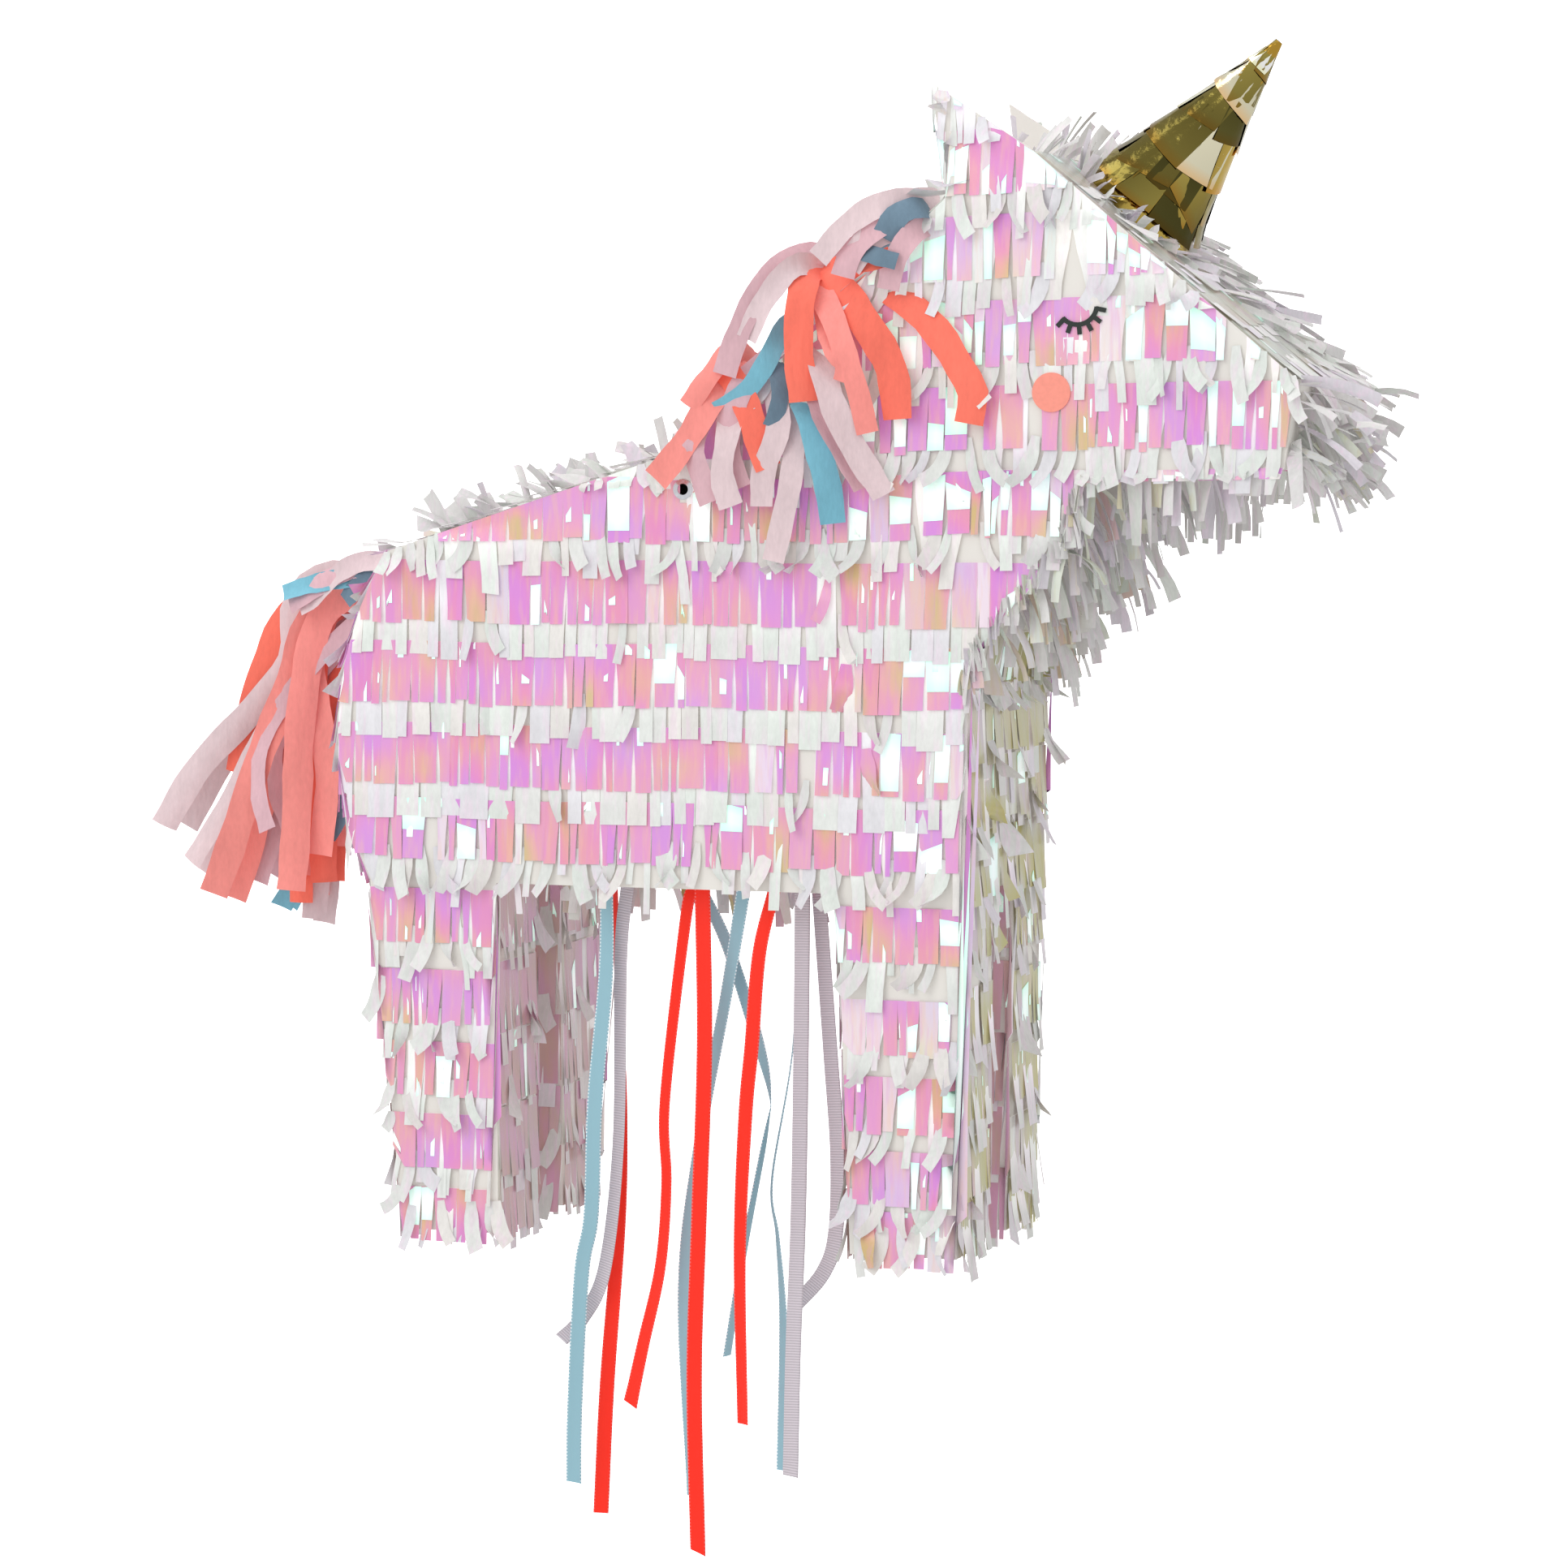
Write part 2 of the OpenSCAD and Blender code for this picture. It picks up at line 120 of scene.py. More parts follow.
class Paint:
    """Wires the nodes of one material."""

    def __init__(self, name: str) -> None:
        """Starts a material with an empty Principled surface.

        Args:
            name: the material's name.
        """
        self.material = bpy.data.materials.new(name)
        self.material.use_nodes = True
        self.tree = self.material.node_tree
        self.surface = self.tree.nodes["Principled BSDF"]

    def node(self, kind: str, **settings: object) -> bpy.types.Node:
        """Adds a node and sets its properties.

        Args:
            kind: its Blender type.
            **settings: its properties.

        Returns:
            The new node.
        """
        made = self.tree.nodes.new(kind)
        for key, value in settings.items():
            setattr(made, key, value)
        return made

    def feed(self, node: bpy.types.Node, **sockets: Value) -> bpy.types.Node:
        """Sets or links a node's inputs.

        Args:
            node: the node whose inputs are fed.
            **sockets: input names, with _ for a space, and a number, a colour or a socket each.

        Returns:
            The same node.
        """
        for key, value in sockets.items():
            socket = node.inputs[key.replace("_", " ")]
            if isinstance(value, Socket):
                self.tree.links.new(value, socket)
            elif isinstance(value, np.ndarray):
                socket.default_value = (*value, 1.0)
            else:
                socket.default_value = value
        return node

    def set(self, **sockets: Value) -> None:
        """Sets or links inputs of the surface."""
        self.feed(self.surface, **sockets)

    def attribute(self, name: str, out: str = "Fac") -> Socket:
        """Reads a value stored on the mesh."""
        return self.node("ShaderNodeAttribute", attribute_name=name).outputs[out]

    def noise(self, scale: float, detail: float = 3, stretch: Sequence[float] = (1, 1, 1)) -> Socket:
        """Noise over the object's own space, stretched along its axes.

        Args:
            scale: how fine it is.
            detail: how many finer layers it has.
            stretch: scale along each axis.

        Returns:
            A value from 0 to 1.
        """
        place = self.node("ShaderNodeTexCoord").outputs["Object"]
        mapping = self.feed(self.node("ShaderNodeMapping"), Vector=place, Scale=stretch)
        texture = self.node("ShaderNodeTexNoise")
        self.feed(texture, Vector=mapping.outputs["Vector"], Scale=scale, Detail=detail)
        return texture.outputs["Fac"]

    def math(self, operation: str, a: Value, b: Value = 0.5, clamp: bool = False) -> Socket:
        """One step of arithmetic on two values.

        Args:
            operation: the step's Blender name.
            a: first value.
            b: second value.
            clamp: whether the result is kept from 0 to 1.

        Returns:
            The result.
        """
        step = self.node("ShaderNodeMath", operation=operation, use_clamp=clamp)
        for socket, value in zip(step.inputs, (a, b)):
            if isinstance(value, Socket):
                self.tree.links.new(value, socket)
            else:
                socket.default_value = value
        return step.outputs[0]

    def spread(self, value: Value, lo: float, hi: float, to_lo: float = 0, to_hi: float = 1) -> Socket:
        """Maps a value's range on to another, clamped.

        Args:
            value: the value.
            lo: start of its range.
            hi: end of its range.
            to_lo: what lo becomes.
            to_hi: what hi becomes.

        Returns:
            The mapped value.
        """
        node = self.node("ShaderNodeMapRange")
        self.feed(node, Value=value)
        for name, number in zip(("From Min", "From Max", "To Min", "To Max"), (lo, hi, to_lo, to_hi)):
            node.inputs[name].default_value = number
        return node.outputs["Result"]

    def mix(self, share: Value, a: Value, b: Value, blend: str = "MIX") -> Socket:
        """Mixes two colours.

        Args:
            share: how much of the second.
            a: first colour.
            b: second colour.
            blend: how they mix.

        Returns:
            The mixed colour.
        """
        node = self.node("ShaderNodeMixRGB", blend_type=blend)
        self.feed(node, Fac=share, Color1=a, Color2=b)
        return node.outputs["Color"]

    def bump(self, height: Socket, strength: float, depth: float) -> None:
        """Roughens the surface's normal by a height."""
        node = self.feed(self.node("ShaderNodeBump"), Strength=strength, Distance=depth, Height=height)
        self.set(Normal=node.outputs["Normal"])


@dataclass(frozen=True)
class Finish:
    """A finish that every surface with the same look shares."""

    name: str
    slot: str

    def wire(self, paint: Paint) -> None:
        """Builds the finish's nodes."""
        raise NotImplementedError

    def material(self) -> bpy.types.Material:
        """The finish's material, made once.

        Returns:
            The material.
        """
        found = bpy.data.materials.get(self.name)
        if found is None:
            paint = Paint(self.name)
            self.wire(paint)
            found = paint.material
        return found


@dataclass(frozen=True)
class Film(Finish):
    """Iridescent plastic film, coloured leaf by leaf."""

    roughness: float = 0.3
    coat: float = 0.5
    warm: str = "#EFC3A2"
    cool: str = "#DD90E0"

    def wire(self, paint: Paint) -> None:
        """Tints the film in fine streaks under a clear gloss, and makes it glow by its glow value, painted
        light.

        Args:
            paint: the material's nodes.
        """
        tint = paint.attribute("tint", "Color")
        warm = paint.spread(paint.noise(100, 2, (4, 4, 0.5)), 0.48, 0.66, 0, 0.34)
        cool = paint.spread(paint.noise(76, 2, (5, 5, 0.6)), 0.5, 0.66, 0, 0.3)
        glow = paint.attribute("glow")
        # The painted highlights glow most and so lose most of the streaks.
        plain = paint.math("SUBTRACT", 1.0, paint.math("MULTIPLY", glow, 2.6, True), True)
        toned = paint.mix(paint.math("MULTIPLY", warm, plain), tint, linear(self.warm))
        toned = paint.mix(paint.math("MULTIPLY", cool, plain), toned, linear(self.cool))
        paint.set(Base_Color=toned, Roughness=self.roughness, Coat_Weight=self.coat)
        paint.set(Coat_Roughness=0.12, Thin_Film_Thickness=420.0, Thin_Film_IOR=1.45)
        # Painted light: the film glows by its glow value.
        paint.set(Emission_Color=toned, Emission_Strength=glow)
        paint.bump(paint.noise(60, 2, (5, 5, 1)), 0.25, 0.0006)


@dataclass(frozen=True)
class Tissue(Finish):
    """Thin tissue paper with soft creases."""

    crease: float = 0.35
    veil: float = 0.0

    def wire(self, paint: Paint) -> None:
        """Shades the tissue with fibres, paints shade and light along long creases with their bump, lets
        some film show through it, and makes it glow by its glow value, painted light.

        Args:
            paint: the material's nodes.
        """
        tint = paint.attribute("tint", "Color")
        thin = paint.spread(paint.noise(85, 2, (4, 4, 0.5)), 0.5, 0.68, 0.0, self.veil)
        tint = paint.mix(thin, tint, linear("#F1D6E9"))
        fibre = paint.spread(paint.noise(700, 4, (1, 1, 0.4)), 0.3, 0.7, 0.93, 1.02)
        crease = paint.noise(70, 3, (3, 3, 0.8))
        # Painted shade and light: the creases darken and lighten the colour along with their bump.
        shade = paint.math("MULTIPLY", fibre, paint.spread(crease, 0.3, 0.7, 0.94, 1.03))
        paint.set(Base_Color=paint.mix(1.0, tint, shade, "MULTIPLY"), Roughness=0.75)
        paint.set(Sheen_Weight=0.15, Specular_IOR_Level=0.25)
        # Painted light: the tissue glows by its glow value.
        paint.set(Emission_Color=tint, Emission_Strength=paint.attribute("glow"))
        paint.bump(crease, self.crease, 0.0012)


@dataclass(frozen=True)
class Foil(Finish):
    """Crinkled metallised film."""

    roughness: float = 0.14
    tone: str = ""

    def wire(self, paint: Paint) -> None:
        """Makes a bright metal with small dents, of its own tone or tile by tile; its own tone gets darker
        patches, painted reflection of a darker room.

        Args:
            paint: the material's nodes.
        """
        tint = paint.attribute("tint", "Color")
        if self.tone:
            # Painted reflection: darker patches stand for a darker room mirrored in the foil.
            patch = paint.spread(paint.noise(55, 1), 0.4, 0.6)
            tint = paint.mix(patch, linear(self.tone), linear(self.tone) * 0.55)
        paint.set(Base_Color=tint, Metallic=1.0, Roughness=self.roughness)
        dents = paint.math("ADD", paint.noise(90, 2), paint.math("MULTIPLY", paint.noise(420, 2), 0.2))
        paint.bump(dents, 0.45, 0.0014)


@dataclass(frozen=True)
class Satin(Finish):
    """Satin ribbon with a row of small loops along both edges."""

    tone: str = "#FF3418"
    dots: float = 0.0
    loop_pitch: float = 1.6 * MM

    def wire(self, paint: Paint) -> None:
        """Shades fine lengthwise threads and dotted edges, and makes the ribbon glow a little, painted
        light.

        Args:
            paint: the material's nodes.
        """
        across, along = paint.attribute("across"), paint.attribute("along")
        middle = paint.math("ABSOLUTE", paint.math("SUBTRACT", across, 0.5))
        edge = paint.spread(middle, 0.4, 0.44)
        beat = paint.math("FRACT", paint.math("DIVIDE", along, self.loop_pitch))
        dot = paint.math("MULTIPLY", edge, paint.math("LESS_THAN", beat, 0.5))
        base = linear(self.tone)
        light = paint.mix(paint.math("MULTIPLY", dot, self.dots), base, linear("#F4FBFF"))
        thread = paint.math("SINE", paint.math("MULTIPLY", across, 240.0))
        deep = paint.mix(paint.spread(thread, -1, 1, 0.0, 0.12), light, base * 0.72)
        paint.set(Base_Color=deep, Roughness=0.42, Sheen_Weight=0.05, Sheen_Roughness=0.4)
        paint.set(Specular_IOR_Level=0.35, Anisotropic=0.5)
        # Painted light: the ribbon glows a little.
        paint.set(Emission_Color=deep, Emission_Strength=0.12)
        paint.bump(paint.math("ADD", thread, paint.math("MULTIPLY", dot, 3.0)), 0.25, 0.0001)


@dataclass(frozen=True)
class Grosgrain(Finish):
    """Grosgrain ribbon with fine ribs across it."""

    tone: str = "#DED4DC"
    rib_pitch: float = 1.2 * MM

    def wire(self, paint: Paint) -> None:
        """Shades the ribs by height, and paints their colour darker in the troughs and lighter on the
        crests, painted shade and light.

        Args:
            paint: the material's nodes.
        """
        turn = paint.math("MULTIPLY", paint.attribute("along"), math.tau / self.rib_pitch)
        rib = paint.spread(paint.math("SINE", turn), -1, 1)
        base = linear(self.tone)
        # Painted shade and light: the colour follows the ribs' bump, darker low and lighter high.
        paint.set(Base_Color=paint.mix(rib, base * 0.74, base * 1.06), Roughness=0.6)
        paint.set(Sheen_Weight=0.3)
        paint.bump(rib, 0.6, 0.0003)


@dataclass(frozen=True)
class Board(Finish):
    """Greyboard with short fibres."""

    tone: str = "#E9E6EC"
    fibre_tone: str = "#C3BCC0"

    def wire(self, paint: Paint) -> None:
        """Speckles a matt board.

        Args:
            paint: the material's nodes.
        """
        fibre = paint.spread(paint.noise(900, 5, (1, 1, 0.5)), 0.45, 0.75)
        cloud = paint.spread(paint.noise(14, 2), 0.3, 0.7, 0.9, 1.03)
        flecked = paint.mix(paint.math("MULTIPLY", fibre, 0.45), linear(self.tone), linear(self.fibre_tone))
        paint.set(Base_Color=paint.mix(1.0, flecked, cloud, "MULTIPLY"), Roughness=0.88)
        paint.bump(fibre, 0.15, 0.0003)


@dataclass(frozen=True)
class Sticker(Finish):
    """Smooth coloured paper sticker."""

    tone: str = "#FFA594"
    roughness: float = 0.6

    def wire(self, paint: Paint) -> None:
        """Gives a flat paper colour a slight grain.

        Args:
            paint: the material's nodes.
        """
        grain = paint.spread(paint.noise(500, 4), 0.3, 0.7, 0.93, 1.03)
        paint.set(Base_Color=paint.mix(1.0, linear(self.tone), grain, "MULTIPLY"))
        paint.set(Roughness=self.roughness)
        paint.bump(paint.noise(1200, 3), 0.12, 0.0002)


@dataclass(frozen=True)
class Eyelet(Finish):
    """Pressed bright metal."""

    def wire(self, paint: Paint) -> None:
        """Makes polished metal with faint wear."""
        wear = paint.spread(paint.noise(400, 3), 0.4, 0.7, 0.12, 0.3)
        paint.set(Base_Color=linear("#DCDDE2"), Metallic=1.0, Roughness=wear)


@dataclass(frozen=True)
class Tape(Finish):
    """Clear tape over the board."""

    def wire(self, paint: Paint) -> None:
        """Makes a milky gloss with small bubbles.

        Args:
            paint: the material's nodes.
        """
        bubble = paint.spread(paint.noise(260, 3), 0.55, 0.75)
        base = paint.mix(bubble, linear("#EDE8EA"), linear("#D8CFD3"))
        paint.set(Base_Color=base, Roughness=0.25, Coat_Weight=0.6)
        paint.bump(bubble, 0.2, 0.0003)


@dataclass(frozen=True)
class Backdrop(Finish):
    """White studio paper."""

    glow: float = 0.0

    def wire(self, paint: Paint) -> None:
        """Makes matt white paper that glows a little.

        Args:
            paint: the material's nodes.
        """
        grain = paint.spread(paint.noise(3, 2), 0.3, 0.7, 0.99, 1.0)
        white = paint.mix(1.0, linear("#FFFFFF"), grain, "MULTIPLY")
        paint.set(Base_Color=white, Roughness=1.0, Specular_IOR_Level=0.0)
        paint.set(Emission_Color=white, Emission_Strength=self.glow)


FILM = Film("iridescent film", "iridescent_film")
# The dusky film is a darker, duller copy for faces turned from the lamps, painted shade. The shaded film
# streaks in olive and greyish mauve, to go with the olive and pearl colours.
FILM_IN_SHADE = Film("dusky film", "iridescent_film", warm="#D0A79A", cool="#C897BC")
SHADED_FILM = Film("shaded film", "iridescent_film", warm="#C6B86A", cool="#C9AFC0")
TISSUE = Tissue("white tissue", "white_tissue", veil=0.4)
STREAMER = Tissue("tissue streamers", "coral_tissue", crease=0.5)
GOLD = Foil("gold foil", "gold_foil")
UNDERFOIL = Foil("foil under the tiles", "gold_foil", tone="#BFA550")
BOARD = Board("greyboard", "greyboard")
CARD = Board("horn card", "horn_card", tone="#A58A54", fibre_tone="#7C6436")
TAPE = Tape("clear tape", "clear_tape")
METAL = Eyelet("eyelet metal", "eyelet_metal")
LASH = Sticker("lash card", "lash_card", tone="#0F1F18", roughness=0.45)
CHEEK = Sticker("cheek card", "cheek_card", tone="#FF9C8A")


# ---------------------------------------------------------------- thin sheets


@dataclass
class Leaves:
    """Many thin leaves of film, paper or ribbon, gathered into one mesh."""

    points: list[Array] = field(default_factory=list)
    faces: list[Array] = field(default_factory=list)
    values: dict[str, list[Array]] = field(default_factory=lambda: {k: [] for k in VALUES})
    count: int = 0

    def add(self, grid: Array, keep: Array | None = None, **values: object) -> None:
        """Adds one leaf.

        Args:
            grid: its points, rows by columns by 3.
            keep: for each cell, whether the leaf has it; all of them if left out.
            **values: tint, glow, across and along, each one value or one per point.
        """
        rows, cols = grid.shape[:2]
        number = self.count + np.arange(rows * cols).reshape(rows, cols)
        cells = np.stack([number[:-1, :-1], number[:-1, 1:], number[1:, 1:], number[1:, :-1]], -1)
        cells = cells.reshape(-1, 4) if keep is None else cells[keep]
        self.points.append(grid.reshape(-1, 3))
        self.faces.append(cells)
        self.count += rows * cols
        for name, width in VALUES.items():
            value = np.asarray(values.get(name, 0.0), float)
            if width == 3 and value.ndim <= 1:
                value = np.broadcast_to(value, (rows, cols, 3))
            elif width == 1:
                value = np.broadcast_to(value, (rows, cols))
            self.values[name].append(value.reshape(rows * cols, -1))

    def build(self, name: str, finish: Finish, body: str = "root") -> bpy.types.Object:
        """Makes the mesh and lets it ride on a body.

        Args:
            name: the piece's name.
            finish: what it is made of.
            body: the body that it moves with.

        Returns:
            The new object.
        """
        mesh = bpy.data.meshes.new(name)
        mesh.from_pydata(np.concatenate(self.points).tolist(), [], np.concatenate(self.faces).tolist())
        for key, width in VALUES.items():
            data = np.concatenate(self.values[key])
            if width == 3:
                layer = mesh.attributes.new(key, "FLOAT_COLOR", "POINT")
                layer.data.foreach_set("color", np.c_[data, np.ones(len(data))].ravel())
            else:
                layer = mesh.attributes.new(key, "FLOAT", "POINT")
                layer.data.foreach_set("value", data.ravel())
        mesh.polygons.foreach_set("use_smooth", [True] * len(mesh.polygons))
        piece = bpy.data.objects.new(name, mesh)
        bpy.context.scene.collection.objects.link(piece)
        piece.data.materials.append(finish.material())
        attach(piece, body)
        LOG.info("%s: %d leaves' points, %d faces", name, len(mesh.vertices), len(mesh.polygons))
        return piece


VALUES = {"tint": 3, "glow": 1, "across": 1, "along": 1}


def spline(knots: Sequence[Sequence[float]], steps: int) -> Array:
    """Points evenly spaced along a smooth curve through the knots.

    Args:
        knots: the points that the curve passes through.
        steps: how many points to return.

    Returns:
        The points, steps by 3.
    """
    p = np.asarray(knots, float)
    p = np.concatenate([[2 * p[0] - p[1]], p, [2 * p[-1] - p[-2]]])
    t = np.linspace(0, 1, 24)[:, None]
    run = []
    for a, b, c, d in zip(p, p[1:], p[2:], p[3:]):
        run.append(0.5 * (2 * b + (c - a) * t + (2 * a - 5 * b + 4 * c - d) * t**2
                          + (3 * b - a - 3 * c + d) * t**3))
    fine = np.concatenate(run)
    far = np.r_[0, np.cumsum(np.linalg.norm(np.diff(fine, axis=0), axis=1))]
    return np.stack([np.interp(np.linspace(0, far[-1], steps), far, fine[:, k]) for k in range(3)], 1)


def strip(line: Array, side: Array, width: float | Array, turn: Array | float = 0.0,
          cup: float = 0.0, columns: int = 3) -> Array:
    """A flat strip along a line.

    Args:
        line: its centreline, n by 3.
        side: roughly which way its width runs, one way or one per point.
        width: its width, one value or one per point.
        turn: how far it is turned about its line, in radians.
        cup: how far its edges bend out of its plane.
        columns: points across it.

    Returns:
        The strip's points, n by columns by 3.
    """
    tangent = np.gradient(line, axis=0)
    tangent /= np.linalg.norm(tangent, axis=1)[:, None]
    side = np.broadcast_to(side, line.shape)
    lean = side - np.sum(tangent * side, axis=1)[:, None] * tangent
    lean /= np.linalg.norm(lean, axis=1)[:, None]
    face = np.cross(tangent, lean)
    turn = np.broadcast_to(turn, len(line))[:, None]
    lean, face = lean * np.cos(turn) + face * np.sin(turn), face * np.cos(turn) - lean * np.sin(turn)
    place = np.linspace(-0.5, 0.5, columns)
    reach = np.broadcast_to(width, len(line))[:, None, None] * place[None, :, None]
    return line[:, None] + lean[:, None] * reach + face[:, None] * (cup * 4 * place**2)[None, :, None]


def droop(root: Array, heading: Array, length: float, fall: float, steps: int = 6) -> Array:
    """A line that leaves its root along heading and bends down under its weight.

    Args:
        root: where it starts.
        heading: the way it sets out.
        length: its length.
        fall: how much of its direction has turned down at its end, 0 to 1.
        steps: how many points to return.

    Returns:
        The points, steps by 3.
    """
    share = np.linspace(0, 1, steps)[:, None] * fall
    way = unit(heading)[None] * (1 - share) - UP[None] * share
    way /= np.linalg.norm(way, axis=1)[:, None]
    return root + np.r_[np.zeros((1, 3)), np.cumsum(way[:-1] * length / (steps - 1), axis=0)]


# ---------------------------------------------------------------- the board body


@dataclass
class Face:
    """A flat face that fringe is glued to.

    origin is a point on it, along its rows, up against the way its fingers hang and out its
    normal. edge is its outline as points along and up.
    """

    origin: Array
    along: Array
    up: Array
    out: Array
    edge: Array

    def at(self, u: Array, w: Array, n: Array) -> Array:
        """Points at u along, w up and n out."""
        return (self.origin + np.asarray(u)[..., None] * self.along
                + np.asarray(w)[..., None] * self.up + np.asarray(n)[..., None] * self.out)

    def spans(self, u: float) -> list[tuple[float, float]]:
        """The stretches of the face, lowest and highest w, on the line at u.

        Args:
            u: place along the face.

        Returns:
            Each stretch's lowest and highest place.
        """
        a, b = self.edge, np.roll(self.edge, -1, axis=0)
        over = (a[:, 0] > u) != (b[:, 0] > u)
        a, b = a[over], b[over]
        cross = np.sort(a[:, 1] + (u - a[:, 0]) / (b[:, 0] - a[:, 0]) * (b[:, 1] - a[:, 1]))
        return list(zip(cross[::2], cross[1::2]))


@dataclass
class Body:
    """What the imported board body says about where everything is."""

    frame: dict

    def mesh_points(self, node: str) -> Array:
        """Every vertex of a node.

        Args:
            node: the node's name.

        Returns:
            The vertices, n by 3.
        """
        mesh = self.frame["nodes"][node].data
        flat = np.empty(3 * len(mesh.vertices))
        mesh.vertices.foreach_get("co", flat)
        return flat.reshape(-1, 3)

    def outline(self, node: str = "right_side_panel") -> Array:
        """The side panel's outline, as X and Z, clockwise from its lowest X.

        Args:
            node: the side panel.

        Returns:
            The corners, n by 2.
        """
        mesh = self.frame["nodes"][node].data
        points = self.mesh_points(node).round(6)
        y = points[:, 1].min()
        names: dict[tuple, int] = {}
        key = [names.setdefault(tuple(p), len(names)) for p in points]
        where = np.array(list(names))
        count: dict[tuple[int, int], int] = {}
        for face in mesh.polygons:
            ids = [key[i] for i in face.vertices]
            if all(abs(where[i][1] - y) < 1e-6 for i in ids):
                for a, b in zip(ids, ids[1:] + ids[:1]):
                    count[min(a, b), max(a, b)] = count.get((min(a, b), max(a, b)), 0) + 1
        links: dict[int, list[int]] = {}
        for (a, b), times in count.items():
            if times == 1:
                links.setdefault(a, []).append(b)
                links.setdefault(b, []).append(a)
        start = min(links, key=lambda i: where[i][0])
        loop, seen = [start], {start}
        while step := [i for i in links[loop[-1]] if i not in seen]:
            loop.append(step[0])
            seen.add(step[0])
        edge = where[loop][:, [0, 2]]
        nxt = np.roll(edge, -1, axis=0)
        turn = (edge[:, 0] * nxt[:, 1] - nxt[:, 0] * edge[:, 1]).sum()
        return edge if turn < 0 else edge[::-1]

    def edge_line(self, node: str) -> Array:
        """The outline's corners that an edge strip runs between, as X and Z, clockwise.

        Args:
            node: the edge strip.

        Returns:
            The corners, n by 2.
        """
        low, high = (np.array(c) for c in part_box(node))
        pad = 0.2 * MM
        edge = self.outline()
        inside = [(low[0] - pad <= x <= high[0] + pad) and (low[2] - pad <= z <= high[2] + pad)
                  for x, z in edge]
        found = np.flatnonzero(inside)
        gaps = (found - np.roll(found, 1)) % len(edge)
        return edge[np.roll(found, -int(np.argmax(gaps)))]

    def half_width(self) -> float:
        """Half of the width over both side panels."""
        return float(self.mesh_points("left_side_panel")[:, 1].max())

    def side(self, side: Side) -> Face:
        """The outer face of a side panel.

        Args:
            side: which panel.

        Returns:
            Its face.
        """
        sign = side.value
        return Face(np.array([0, sign * self.half_width(), 0.0]), np.array([1.0, 0, 0]), UP,
                    np.array([0.0, sign, 0]), self.outline())

    def across(self, a: Array, b: Array) -> Face:
        """The outer face of an edge strip between two outline corners, b further clockwise.

        Args:
            a: one corner, as X and Z.
            b: the next corner.

        Returns:
            The strip's face.
        """
        half = self.half_width()
        fall = unit(np.array([b[0] - a[0], 0, b[1] - a[1]]))
        out = np.array([-fall[2], 0, fall[0]])
        long = float(np.hypot(*(b - a)))
        edge = np.array([[-half, 0], [half, 0], [half, -long], [-half, -long]])
        return Face(np.array([a[0], 0, a[1]]), np.array([0.0, 1, 0]), -fall, out, edge)


@dataclass(frozen=True)
class Shimmer:
    """The colours that film is painted with on faces turned one way; the olive set is painted reflection
    colour at a slant with painted shade, the dusky set painted shade.
    """

    stops: tuple[str, ...]
    drift: float = 0.0

    def at(self, u: Array, w: Array, jitter: float) -> Array:
        """Film colour at u along and w up, moved along the scale by jitter.

        Args:
            u: places along the face.
            w: places up the face.
            jitter: how far the colour is moved along the scale.

        Returns:
            Linear colours.
        """
        slow = np.sin(math.tau * (u / 0.118 + 0.8 * np.sin(w * 31 + self.drift)) + self.drift)
        quick = np.sin(math.tau * (u / 0.031 + w / 0.07) + 1.7 * self.drift)
        place = np.clip(0.37 + 0.26 * slow + 0.15 * quick + jitter, 0, 1)
        colours = np.array([linear(s) for s in self.stops])
        scale = np.linspace(0, 1, len(colours))
        return np.stack([np.interp(place, scale, colours[:, k]) for k in range(3)], -1)


ROSY = Shimmer(("#D68ADF", "#DD8BDB", "#E28ACB", "#E78FC0", "#E895B4", "#E8A79F", "#D2B67C"), 0.4)
# Front faces: painted reflection colour, olive as the film looks at a slant, and painted shade, greyer.
OLIVE = Shimmer(("#CDB6C4", "#C8C2A8", "#BDB878", "#B8AE58", "#C4B678", "#D6AEB4"), 2.1)
# Faces turned away from the lamps or hidden from them: painted shade, a duller and darker pink.
DUSK_IN_SHADE = Shimmer(("#D49BBC", "#CB9CAE", "#C4A49A", "#CDA0A8", "#D898B4"), 3.3)
PEARL = Shimmer(("#DAD3D9", "#DBDEDA", "#D6DED2", "#DAD6BE", "#E2CCBE", "#E2C2CC"), 1.2)


@dataclass(frozen=True)
class Cut:
    """How a strip is cut and how its fingers lie.

    Fingers are narrow to wide across, with a slit between them. They start base off the face, rise by
    lift at their ends, cup across by cup and sway by up to sway degrees or so. The stray share of them
    curls out from stray_root up, and ragged and missing say how uneven and how gappy a row is.
    """

    narrow: float = 5 * MM
    wide: float = 13 * MM
    slit: float = 0.5 * MM
    base: float = 0.4 * MM
    lift: float = 1.4 * MM
    cup: float = 0.5 * MM
    sway: float = 1.6
    stray: float = 0.05
    stray_angle: float = 30.0
    stray_lift: float = 6 * MM
    stray_width: float = 7 * MM
    stray_root: float = 21 * MM
    ragged: float = 0.06
    missing: float = 0.0


# Painted light: tissue glows most along its top, hidden under the film, so that the slits between film
# fingers show white where shade would fall.
HIDDEN_GLOW = np.array([0.35, 0.35, 0.35, 0.22, 0.1, 0.08])[:, None]

FILM_CUT = Cut(narrow=4 * MM, wide=12 * MM, slit=0.5 * MM, base=0.9 * MM, lift=1.2 * MM,
               sway=1.0, stray=0.015, ragged=0.025, missing=0.03)
TISSUE_CUT = Cut(narrow=5 * MM, wide=14 * MM, slit=0.15 * MM, base=0.4 * MM, lift=1.3 * MM,
                 cup=0.5 * MM, sway=1.4, stray=0.08, stray_width=5 * MM, ragged=0.022)
TORN_CUT = Cut(narrow=3.5 * MM, wide=10 * MM, slit=0.4 * MM, base=0.4 * MM, lift=2.2 * MM,
               cup=0.7 * MM, sway=4.5, stray=0.5, stray_angle=50, stray_lift=8 * MM,
               stray_width=5.5 * MM, ragged=0.12)


